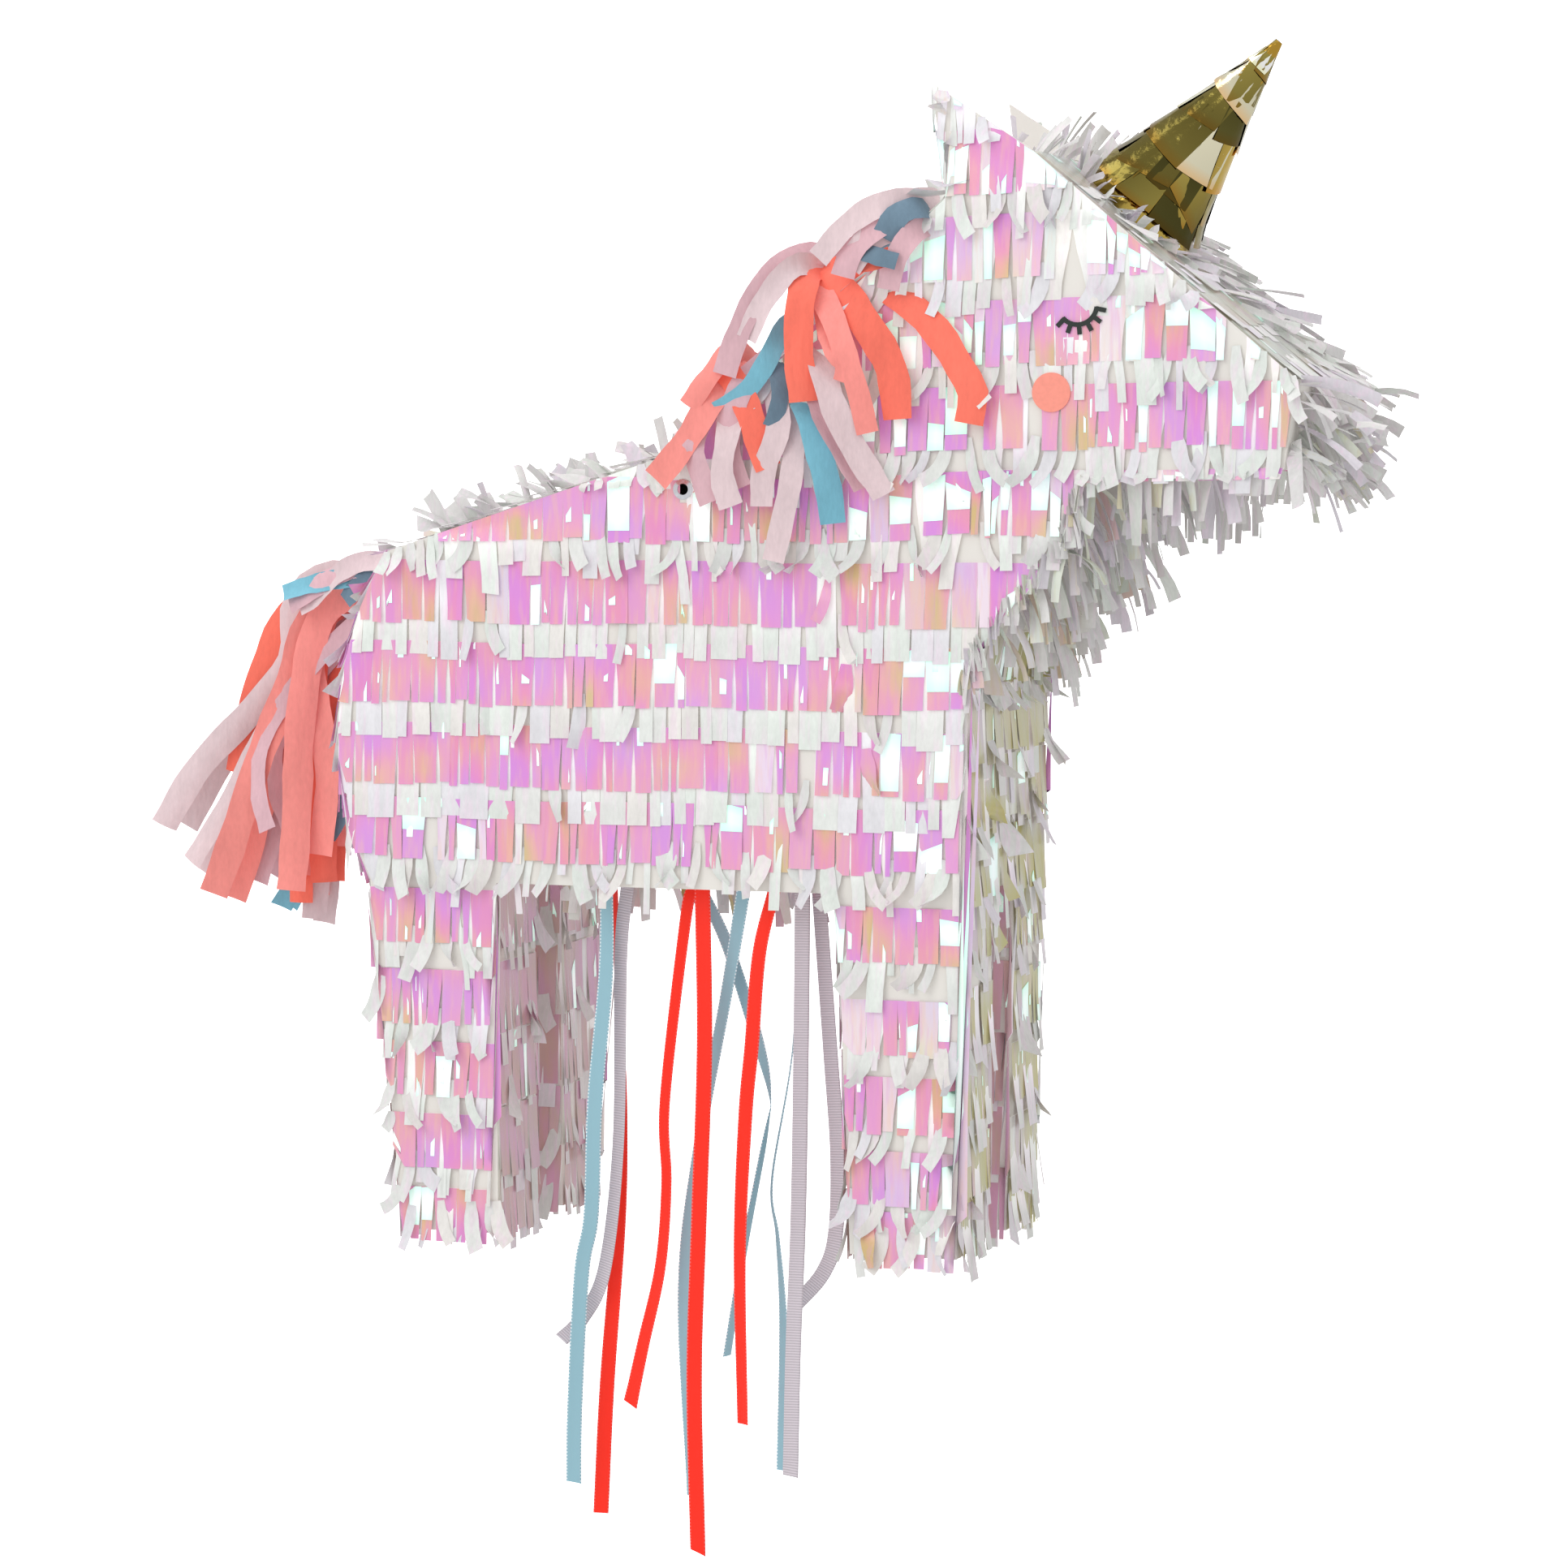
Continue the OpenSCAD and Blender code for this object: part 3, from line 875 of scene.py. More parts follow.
@dataclass
class Fringe:
    """Cuts double strips, film over longer tissue, and glues them on a face.

    pressed lists the places where fingers are held down, overhang is how far they reach past the
    face's lower edge except along tucked, sparkles gives the chance of a painted highlight, a bright
    glowing patch, at a place and flecks the chance of a small painted highlight anywhere.
    """

    face: Face
    rng: np.random.Generator
    shimmer: Shimmer = ROSY
    film: Leaves = field(default_factory=Leaves)
    tissue: Leaves = field(default_factory=Leaves)
    pressed: Sequence[tuple[float, float, float, float]] = ()
    overhang: float = 4 * MM
    tucked: tuple[float, float] = (0.0, 0.0)
    sparkles: Callable[[float, float], float] | None = None
    glint_flecks: float = 0.4
    white: tuple[str, ...] = ("#E6E7E4", "#E4E7E3", "#E2E8E2", "#E4E3E7", "#E8E5E1")

    def flatten(self, u: Array, w: Array, n: Array) -> Array:
        """Presses fingers down under the stickers and round the hang hole.

        Args:
            u: places along the face.
            w: places up it.
            n: heights off it.

        Returns:
            The heights, pressed down where something lies on them.
        """
        for pu, pw, radius, height in self.pressed:
            near = 1 - smooth(np.hypot(u - pu, w - pw), radius, radius + 9 * MM)
            n = n * (1 - near) + np.minimum(n, height + 0.03 * n) * near
        return n

    def finger(self, leaves: Leaves, cut: Cut, ua: float, ub: float,
               top: Height, low: Height,
               shade: Shade, glow: float | Array = 0.0) -> None:
        """Adds one finger.

        Args:
            leaves: where it goes.
            cut: how it is cut.
            ua: one edge, along the face.
            ub: its other edge.
            top: height of its root at a place along the face.
            low: height of its end at a place along the face.
            shade: its colour at u along and w up.
            glow: how much painted light it gives off by itself.
        """
        rng = self.rng
        if rng.random() < cut.stray:
            self.curl(leaves, cut, (ua + ub) / 2, top, low, shade)
            return
        angle = math.radians(rng.normal(0, cut.sway))
        lift = cut.lift * rng.uniform(0.5, 1.3)
        cup = cut.cup * rng.uniform(-0.6, 1.0)
        t = np.linspace(0, 1, 6)[:, None]
        c = np.linspace(0, 1, 3)[None, :]
        slit = cut.slit * smooth(t, 0.05, 0.8) * rng.uniform(0.4, 2.2)
        u = ua + slit + (ub - ua - 2 * slit) * c
        w0 = np.array([top(x) for x in (ua, (ua + ub) / 2, ub)])[None, :]
        w1 = np.array([low(x) for x in (ua, (ua + ub) / 2, ub)])[None, :]
        length = (w0 - w1) * (1 + rng.normal(0, cut.ragged) * smooth(t, 0, 1))
        bend = smooth(t, 0.1, 1.0)
        shift = np.tan(angle) * length * bend
        w = w0 - length * t
        n = cut.base + lift * t**1.6 + cup * (2 * c - 1) ** 2 * bend
        grid = self.face.at(u + shift, w, self.flatten(u + shift, w, n))
        leaves.add(grid, tint=shade(u, w), glow=glow, keep=self.clear(u + shift, w))
        # Painted highlights: some film fingers get a bright glowing patch, and many a small one.
        if leaves is self.film and rng.random() < self.sparkle(float(u[0, 1]), float(w[3, 1])):
            self.painted_glint(leaves, u + shift, w, n, 1.0, rng.uniform(0.35, 1.0))
        if leaves is self.film and rng.random() < self.glint_flecks:
            self.painted_glint(leaves, u + shift, w, n, rng.uniform(0.12, 0.4), rng.uniform(0.08, 0.3))

    def curl(self, leaves: Leaves, cut: Cut, mid: float, top: Height,
             low: Height, shade: Shade) -> None:
        """Adds a finger that has bent and twisted out from between its neighbours.

        Args:
            leaves: where it goes.
            cut: how it is cut.
            mid: its middle, along the face.
            top: height of its root at a place.
            low: height of its end at a place.
            shade: its colour at u along and w up.
        """
        rng = self.rng
        steps = 8
        root = min(top(mid), low(mid) + cut.stray_root)
        length = (root - low(mid)) * rng.uniform(0.9, 1.2)
        t = np.linspace(0, 1, steps)
        lean = math.radians(rng.uniform(0.2, 1.0) * cut.stray_angle) * rng.choice([-1, 1])
        angle = lean * (0.25 + 1.1 * smooth(t, 0.15, 1))
        twist = rng.normal(0, 0.8) * smooth(t, 0.3, 1)
        lift = cut.stray_lift * rng.uniform(0.15, 1.0)
        step = length / (steps - 1)
        u = mid + np.r_[0, np.cumsum(np.sin(angle[:-1]) * step)]
        w = root - np.r_[0, np.cumsum(np.cos(angle[:-1]) * step)]
        n = cut.base + 0.5 * MM + lift * t**1.5
        half = cut.stray_width * rng.uniform(0.35, 0.7) * (0.6 + 0.4 * smooth(t, 0, 0.4))
        c = np.array([-1.0, 0.0, 1.0])[None, :]
        flat = (half * np.cos(twist))[:, None] * c
        u = u[:, None] + flat * np.cos(angle)[:, None]
        w = w[:, None] + flat * np.sin(angle)[:, None]
        n = np.maximum(n[:, None] + (half * np.sin(twist))[:, None] * c, 0.3 * MM)
        grid = self.face.at(u, w, self.flatten(u, w, n))
        leaves.add(grid, tint=shade(u, w), glow=TORN_GLOW, keep=self.clear(u, w))

    def sparkle(self, u: float, w: float) -> float:
        """How likely a film finger at u along and w up is to get a painted highlight."""
        return self.sparkles(u, w) if self.sparkles else 0.06

    def clear(self, u: Array, w: Array) -> Array | None:
        """Which cells of a leaf stay, so that none covers the hang hole.

        Args:
            u: the leaf's places along the face.
            w: the same, up it.

        Returns:
            For each cell whether it stays, or None if all do.
        """
        mid_u = (u[:-1, :-1] + u[1:, 1:]) / 2
        mid_w = (w[:-1, :-1] + w[1:, 1:]) / 2
        keep = np.ones(mid_u.shape, bool)
        for pu, pw, radius, height in self.pressed:
            if height == 0:
                keep &= np.hypot(mid_u - pu, mid_w - pw) > radius
        return None if keep.all() else keep

    def painted_glint(self, leaves: Leaves, u: Array, w: Array, n: Array, wide: float, long: float) -> None:
        """Lays a painted highlight, a mirror-bright glowing patch, over part of a film finger.

        Args:
            leaves: where it goes.
            u: the finger's grid, along the face.
            w: the same, up the face.
            n: the same, off the face.
            wide: share of the finger's width that the patch takes.
            long: share of its length.
        """
        rng = self.rng
        first = max(0.0, rng.uniform(-0.35, 0.9 - 0.4 * long))
        last = min(1.0, first + long)
        across = rng.uniform(0, 1 - wide) + wide * np.linspace(0, 1, 3)
        t = np.linspace(first, last, 4)[:, None] + rng.uniform(-0.1, 0.1) * np.array([[-1, 0, 1]])
        t[-1] = last
        t = np.clip(t, 0, 1)
        grid = np.linspace(0, 1, len(u))
        patch = []
        for part in (u, w, n):
            band = np.stack([np.interp(across, (0, 0.5, 1), row) for row in part])
            patch.append(np.stack([np.interp(t[:, k], grid, band[:, k]) for k in range(3)], 1))
        gu, gw, gn = patch[0], patch[1], patch[2] + 0.25 * MM
        # Near-white painted highlight, tinted towards aqua at its edges.
        tone = linear(rng.choice(["#F2FFFA", "#FCFFFE", "#E4FFF3", "#F0FBFC"]))
        tint = np.broadcast_to(tone, (4, 3, 3)).copy()
        tint[0] *= np.array([0.75, 0.98, 0.9])
        tint[-1] *= np.array([0.8, 1.0, 0.92])
        tint[:, ::2] *= np.array([0.88, 0.99, 0.95])
        leaves.add(self.face.at(gu, gw, self.flatten(gu, gw, gn)), tint=tint, glow=GLINT_GLOW)

    def strip(self, line: Height, film_drop: float, tissue_drop: float,
              film_cut: Cut = FILM_CUT, tissue_cut: Cut = TISSUE_CUT, film_share: float = 1.0,
              hidden: float = 5 * MM, reach: tuple[float, float] | None = None) -> None:
        """Glues one double strip.

        Args:
            line: height of the film's cut ends at a place along the face.
            film_drop: how much of the film shows.
            tissue_drop: how far the tissue hangs below the film.
            film_cut: how the film is cut.
            tissue_cut: how the tissue is cut.
            film_share: share of fingers that keep their film.
            hidden: height of strip under the one above.
            reach: where along the face the strip starts and ends.
        """
        jobs = ((self.tissue, tissue_cut, tissue_drop, 1.0), (self.film, film_cut, 0.0, film_share))
        start, stop = reach or (self.face.edge[:, 0].min(), self.face.edge[:, 0].max())
        for leaves, cut, extra, share in jobs:
            u = start - self.rng.uniform(0, cut.narrow)
            while u < stop:
                step = cut.narrow + (cut.wide - cut.narrow) * self.rng.random() ** 1.6
                if self.rng.random() < share * (1 - cut.missing):
                    self.place(leaves, cut, u, u + step, line, film_drop + hidden, extra)
                u += step

    def stretch(self, x: float, lo: float, hi: float) -> tuple[float, float] | None:
        """The part of the face on the line at x that meets the heights from lo to hi."""
        return next(((a, b) for a, b in self.face.spans(x) if a <= hi and b >= lo), None)

    def reach(self, mid: float, end: float, lo: float, hi: float) -> float:
        """How far a finger can be wide on one side and still lie over the face.

        Args:
            mid: the finger's middle.
            end: its full edge.
            lo: lowest height of the face at mid.
            hi: highest height there.

        Returns:
            The place of the finger's edge along the face.
        """
        for share in np.linspace(1.0, 0.1, 10):
            x = mid + (end - mid) * share
            if self.stretch(x, lo, hi):
                return x
        return mid

    def place(self, leaves: Leaves, cut: Cut, ua: float, ub: float, line: Height,
              rise: float, extra: float) -> None:
        """Trims a finger to the face and adds it wherever the face is under it.

        Args:
            leaves: the film's or the tissue's leaves.
            cut: how the finger is cut.
            ua: one edge, along the face.
            ub: its other edge.
            line: height of the film's cut ends at a place along the face.
            rise: how far above that line the finger starts.
            extra: how far below that line it ends.
        """
        mid = next((x for x in ua + (ub - ua) * np.array([0.5, 0.3, 0.7, 0.12, 0.88])
                    if self.face.spans(x)), ua)
        for lo, hi in self.face.spans(mid):
            if hi < line(mid) - extra + 1 * MM or lo > line(mid) + rise:
                continue
            edges = [self.reach(mid, end, lo, hi) for end in (ua, ub)]
            if edges[1] - edges[0] < 1.0 * MM:
                continue

            def top(x: float, whole: tuple[float, float] = (lo, hi)) -> float:
                """Height of the finger's root at x."""
                return min((self.stretch(x, *whole) or whole)[1], line(x) + rise)

            def low(x: float, whole: tuple[float, float] = (lo, hi)) -> float:
                """Height of the finger's end at x."""
                spare = 0.0 if self.tucked[0] < x < self.tucked[1] else self.overhang
                return max((self.stretch(x, *whole) or whole)[0] - spare, line(x) - extra)

            if top(mid) - low(mid) < 2.5 * MM:
                continue
            jitter = self.rng.normal(0, 0.11)
            # Painted light: film glows a little; tissue glows more along its hidden top.
            if leaves is self.film:
                shade, glow = self.film_shade(mid, line, rise, jitter), FILM_GLOW
            else:
                shade, glow = self.tissue_shade(), HIDDEN_GLOW
            self.finger(leaves, cut, edges[0], edges[1], top, low, shade, glow)

    def film_shade(self, mid: float, line: Height, rise: float, jitter: float) -> Shade:
        """Chooses one film finger's colours.

        Args:
            mid: the finger's middle, along the face.
            line: height of the film's cut ends.
            rise: how far above that line it starts.
            jitter: how far it is moved along the film's colours.

        Returns:
            Its colour as a function of the place along and up.
        """
        rng = self.rng
        streak = rng.normal(0, 0.07, 3)
        # Painted reflection: fingers that get a painted highlight are made far milkier white; the others a
        # little, a pale veil.
        catches_highlight = rng.random() < 0.8 * self.sparkle(mid, line(mid))
        veil_and_sheen = rng.uniform(0.35, 0.95) if catches_highlight else rng.uniform(0, 0.16)
        veil_and_sheen_white = linear(rng.choice(["#EDF1EE", "#E3F4EC", "#F0EAF1"]))

        def shade(u: Array, w: Array) -> Array:
            """The finger's colour at u along and w up."""
            drift = jitter + streak + 0.1 * (line(mid) + rise - w) / rise
            return self.shimmer.at(u, w, drift) * (1 - veil_and_sheen) + veil_and_sheen_white * veil_and_sheen

        return shade

    def tissue_shade(self) -> Shade:
        """Chooses one tissue finger's white, as a function of the place along and up."""
        tone = linear(self.rng.choice(self.white)) * self.rng.uniform(0.93, 1.02)
        return lambda u, w: np.broadcast_to(tone, (*u.shape, 3))


# ---------------------------------------------------------------- studio


@dataclass
class Studio:
    """The camera, the lights and the white paper behind and below."""

    eye: tuple[float, float, float] = (0.6792, -1.9528, 0.0118)
    azimuth: float = 18.5
    down: float = 4.07
    lens: float = 103.7
    sensor: float = 36.0
    floor: float = -0.85
    wall: float = 3.8
    bend: float = 1.0
    reach: float = 6.0

    def build(self) -> None:
        """Makes the camera, then the paper, then the lights."""
        a, e = math.radians(self.azimuth), math.radians(self.down)
        back = Vector((math.sin(a) * math.cos(e), -math.cos(a) * math.cos(e), math.sin(e)))
        data = bpy.data.cameras.new("camera")
        data.lens, data.sensor_width, data.sensor_fit = self.lens, self.sensor, "HORIZONTAL"
        data.clip_start, data.clip_end = 0.05, 50
        camera = bpy.data.objects.new("camera", data)
        camera.location = self.eye
        camera.rotation_mode = "QUATERNION"
        camera.rotation_quaternion = (-back).to_track_quat("-Z", "Y")
        bpy.context.scene.collection.objects.link(camera)
        bpy.context.scene.camera = camera
        bpy.context.scene.view_settings.view_transform = "Standard"
        self.paper()
        self.light("key", (-1.1, -2.6, 1.5), 1.9, 22, (1.0, 0.99, 0.975))
        self.light("fill", (0.4, -2.9, 0.1), 1.6, 6, (0.97, 0.985, 1.0))
        self.light("top", (0.0, 0.2, 2.6), 2.2, 26, (1.0, 1.0, 1.0))
        self.world(0.76)

    def paper(self) -> None:
        """Lays the floor and hangs the backdrop, joined by a soft bend."""
        floor, wall, bend = self.floor, self.wall, self.bend
        profile = [(-self.reach, floor), (wall - bend, floor)]
        for k in range(1, 9):
            turn = k / 8 * math.pi / 2
            profile.append((wall - bend + bend * math.sin(turn), floor + bend - bend * math.cos(turn)))
        profile.append((wall, 5.0))
        rows = [[(x, y, z) for x in (-self.reach, 0.0, self.reach)] for y, z in profile]
        points = [p for row in rows for p in row]
        faces = [(3 * r + c, 3 * r + c + 1, 3 * r + c + 4, 3 * r + c + 3)
                 for r in range(len(rows) - 1) for c in (0, 1)]
        mesh = bpy.data.meshes.new("studio_paper")
        mesh.from_pydata(points, [], faces)
        mesh.polygons.foreach_set("use_smooth", [True] * len(faces))
        paper = bpy.data.objects.new("studio_paper", mesh)
        paper.data.materials.append(Backdrop("studio paper", "", glow=1.0).material())
        bpy.context.scene.collection.objects.link(paper)
        paper.visible_diffuse = paper.visible_glossy = False

    def light(self, name: str, place: Sequence[float], size: float, power: float,
              colour: Sequence[float]) -> None:
        """Adds a soft square lamp aimed at the body.

        Args:
            name: its name.
            place: where it stands.
            size: length of its edge.
            power: its power in watts.
            colour: its colour.
        """
        data = bpy.data.lights.new(name, "AREA")
        data.size, data.energy, data.color = size, power, colour
        lamp = bpy.data.objects.new(name, data)
        lamp.location = place
        lamp.rotation_euler = (Vector((0, 0, -0.1)) - Vector(place)).to_track_quat("-Z", "Y").to_euler()
        bpy.context.scene.collection.objects.link(lamp)

    def world(self, strength: float) -> None:
        """Lights the room evenly in white.

        Args:
            strength: how bright the room is.
        """
        world = bpy.data.worlds.new("room")
        world.use_nodes = True
        world.node_tree.nodes["Background"].inputs["Color"].default_value = (1, 1, 1, 1)
        world.node_tree.nodes["Background"].inputs["Strength"].default_value = strength
        bpy.context.scene.world = world


# ---------------------------------------------------------------- ribbons


class RibbonKind(Enum):
    """The three ribbons used, with the finish of each."""

    RED = Satin("red satin", "red_satin", tone="#FF2A12", dots=0.15)
    BLUE = Satin("blue satin", "blue_satin", tone="#93BCC9", dots=0.8)
    LILAC = Grosgrain("lilac grosgrain", "lilac_grosgrain")


@dataclass
class Ribbon:
    """One ribbon under the trapdoor.

    route gives distances in millimetres along the body, out from the line that the ribbons hang
    on and down from it. turns are the angles, in degrees, that the ribbon is turned by there.
    """

    number: int
    kind: RibbonKind
    route: Sequence[Sequence[float]]
    turns: Sequence[float]
    width: float = 7 * MM
    thickness: float = 0.3 * MM
    slant: float = 0.0

    def build(self, top: Array) -> None:
        """Makes the ribbon below a point on the trapdoor's opening edge.

        Args:
            top: the middle of that edge.
        """
        knots = top + np.array(self.route, float) * MM
        steps = 64
        line = spline(knots, steps)
        far = np.r_[0, np.cumsum(np.linalg.norm(np.diff(line, axis=0), axis=1))]
        marks = np.r_[0, np.cumsum(np.linalg.norm(np.diff(knots, axis=0), axis=1))]
        turn = np.radians(np.interp(far / far[-1], marks / marks[-1], self.turns))
        turn = np.convolve(np.pad(turn, 4, "edge"), np.ones(9) / 9, "valid")
        side = np.array([1.0, 0, 0])
        front = strip(line, side, self.width, turn, cup=0.25 * MM, columns=7)
        face = np.cross(front[:, -1] - front[:, 0], np.gradient(line, axis=0))
        face /= np.linalg.norm(face, axis=1)[:, None]
        rear = front + face[:, None] * self.thickness
        ring = np.concatenate([front, rear[:, ::-1], front[:, :1]], axis=1)
        cut = np.linspace(-0.5, 0.5, 7) * self.slant * self.width
        pull = np.concatenate([cut, cut[::-1], cut[:1]])[None, :, None]
        ring = ring + pull * smooth(np.linspace(0, 1, steps), 0.96, 1)[:, None, None] * -UP
        place = np.linspace(0, 1, 7)
        across = np.concatenate([place, place[::-1], place[:1]])[None, :]
        leaves = Leaves()
        leaves.add(ring, across=np.broadcast_to(across, ring.shape[:2]),
                   along=np.broadcast_to(far[:, None], ring.shape[:2]))
        piece = leaves.build(f"ribbon_{self.number}_strip", self.kind.value, "ribbons")
        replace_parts(piece, f"ribbon_{self.number}")


@dataclass
class Ribbons:
    """The eleven ribbons that hang from the trapdoor's opening edge."""

    gap: float = 1 * MM

    def build(self) -> None:
        """Makes every ribbon."""
        low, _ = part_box("trapdoor")
        top = np.array([0.0, low[1], low[2] - self.gap])
        red, blue, lilac = RibbonKind.RED, RibbonKind.BLUE, RibbonKind.LILAC
        for ribbon in (
            Ribbon(1, blue, [[-43, 0, 0], [-42, -4, -40], [-46, -8, -98], [-48, -8, -150],
                             [-53, -7, -176], [-57, -6, -238], [-58, -5, -274]],
                   (20, 0, -10, -18, -18, -18, -10), slant=0.15),
            Ribbon(2, red, [[-42, 8, 0], [-41, 9, -50], [-39, 9, -96], [-40, 8, -150],
                            [-46, 7, -228], [-49, 6, -290]], (50, 45, 35, 15, -5, -18)),
            Ribbon(3, lilac, [[-34, 3, 0], [-37, 2, -32], [-38, 1, -116], [-45, 1, -176],
                              [-57, 2, -200], [-67, 3, -210]], (10, 15, 25, 15, 0, -20)),
            Ribbon(4, red, [[-2, 2, 0], [-5, 0, -14], [-14, -3, -96], [-13, -4, -134],
                            [-16, -4, -172], [-24, -5, -208], [-30, -6, -236]],
                   (20, 25, 30, 30, 28, 20, 10), slant=0.3),
            Ribbon(5, blue, [[-3, 12, 0], [10, 13, -26], [25, 13, -70], [31, 12, -94],
                             [30, 11, -108], [19, 10, -166], [11, 10, -214]],
                   (20, 20, 16, 62, 92, 98, 102)),
            Ribbon(6, red, [[4, -3, 0], [7, -9, -70], [5, -11, -148], [3, -12, -220],
                            [5, -13, -300]], (-14, -18, -18, -18, -12), slant=0.5),
            Ribbon(7, blue, [[21, 5, 0], [13, 5, -46], [-1, 4, -122], [-7, 3, -184],
                             [-4, 2, -278]], (8, 24, 30, 8, 50)),
            Ribbon(8, red, [[37, 0, 0], [31, -3, -28], [28, -5, -70], [25, -5, -102],
                            [22, -4, -164], [23, -3, -242]], (20, 10, 5, 8, 22, 30)),
            Ribbon(9, blue, [[45, 8, 0], [43, 9, -70], [33, 9, -132], [36, 8, -158],
                             [39, 7, -198], [39, 6, -264]], (64, 70, 66, 58, 40, 20)),
            Ribbon(10, lilac, [[50, 1, 0], [50, -1, -70], [49, -2, -146], [47, -3, -206],
                               [46, -4, -264]], (-16, -18, -18, -12, -16), slant=0.2),
            Ribbon(11, lilac, [[55, 9, 0], [60, 11, -74], [63, 12, -120], [62, 12, -156],
                               [56, 12, -174], [42, 13, -190]], (10, 5, 0, -5, -5, -20)),
        ):
            ribbon.build(top)


# ---------------------------------------------------------------- fringe on the body


@dataclass
class SideFringe:
    """The rows of film and tissue over one side panel."""

    body: Body
    side: Side
    film_drop: float = 23 * MM
    tissue_drop: float = 15 * MM
    body_rows: tuple[float, ...] = (162, 125, 88, 51, 14, -23, -60, -97, -134, -168)
    front_rows: tuple[float, ...] = (-208, -249, -283, -316, -343)
    rear_rows: tuple[float, ...] = (-206, -243, -276, -309, -343)
    neat_rows: tuple[float, ...] = (-60, -97, -134)
    split_x: float = 0.0

    def sparkles(self, x: float, z: float) -> float:
        """How likely film is to get painted highlights and a painted milky sheen: most on the chest, the
        head and the ear.

        Args:
            x: place along the body.
            z: height.

        Returns:
            A chance from 0 to 1.
        """
        chest = 0.28 * smooth(x, 0.085, 0.11) * (1 - smooth(z, 0.0, 0.03))
        head = 0.32 * smooth(z, 0.0, 0.05) * smooth(x, 0.1, 0.14)
        neck = 0.55 * smooth(x, 0.05, 0.075) * (1 - smooth(x, 0.12, 0.15)) * smooth(z, -0.04, 0.01)
        low, high = (np.array(c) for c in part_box("forehead_strip"))
        drop = high[2] - z - (x - low[0]) * (high[2] - low[2]) / (high[0] - low[0])
        brow = 0.85 * (1 - smooth(drop, 18 * MM, 32 * MM)) * smooth(x, 0.15, 0.165)
        tip = 0.6 * smooth(z, 0.145, 0.155)
        return float(0.07 + max(chest, head, neck, brow, tip))

    def spots(self) -> list[tuple[float, float, float, float]]:
        """Where fringe is pressed flat: under the stickers and round the hang hole.

        Returns:
            For each spot its X, its Z, its radius and the height left there.
        """
        name = self.side.name.lower()
        spots = [(0.0, 0.0, 4.2 * MM, 0.0)]
        for node in (f"{name}_cheek", f"{name}_lashes"):
            low, high = (np.array(c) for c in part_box(node))
            mid, size = (low + high) / 2, (high - low).max() / 2
            spots.append((mid[0], mid[2], size, 0.9 * MM))
        return spots

    def build(self) -> None:
        """Makes the film piece and the tissue piece of this side."""
        seed = 11 if self.side is Side.RIGHT else 12
        rng = np.random.default_rng(seed)
        fringe = Fringe(self.body.side(self.side), rng, ROSY, pressed=self.spots(),
                        sparkles=self.sparkles)
        door_low, door_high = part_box("trapdoor")
        fringe.tucked = (door_low[0] + 50 * MM, door_high[0] + 2 * MM)
        for row in self.body_rows:
            cut = TISSUE_CUT if row in self.neat_rows else TORN_CUT
            fringe.strip(self.line(row), self.film_drop, self.tissue_drop, tissue_cut=cut)
        fringe.overhang = 6 * MM
        x0, x1 = fringe.face.edge[:, 0].min(), fringe.face.edge[:, 0].max()
        for rows, reach in ((self.front_rows, (self.split_x, x1)), (self.rear_rows, (x0, self.split_x))):
            for row in rows:
                fringe.strip(lambda x, row=row: row * MM, self.film_drop * 0.86,
                             self.tissue_drop * 0.9, tissue_cut=TORN_CUT, reach=reach)
        name = self.side.name.lower()
        film = fringe.film.build(f"{name}_film_fringe", FILM)
        tissue = fringe.tissue.build(f"{name}_tissue_fringe", TISSUE)
        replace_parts(film, f"{name}_film_rows")
        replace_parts(tissue, f"{name}_tissue_rows")

    def line(self, row: float) -> Height:
        """The height of a row's film ends: rows rise a little towards the head and waver.

        Args:
            row: the row's height in millimetres.

        Returns:
            The height as a function of X.
        """
        phase = row * 0.7

        def height(x: float) -> float:
            """The height of the line at x."""
            rise = 4 * MM * smooth(x, 0.06, 0.18) if row > -30 else 0.0
            return row * MM + rise + 0.5 * MM * math.sin(x * 42 + phase)

        return height


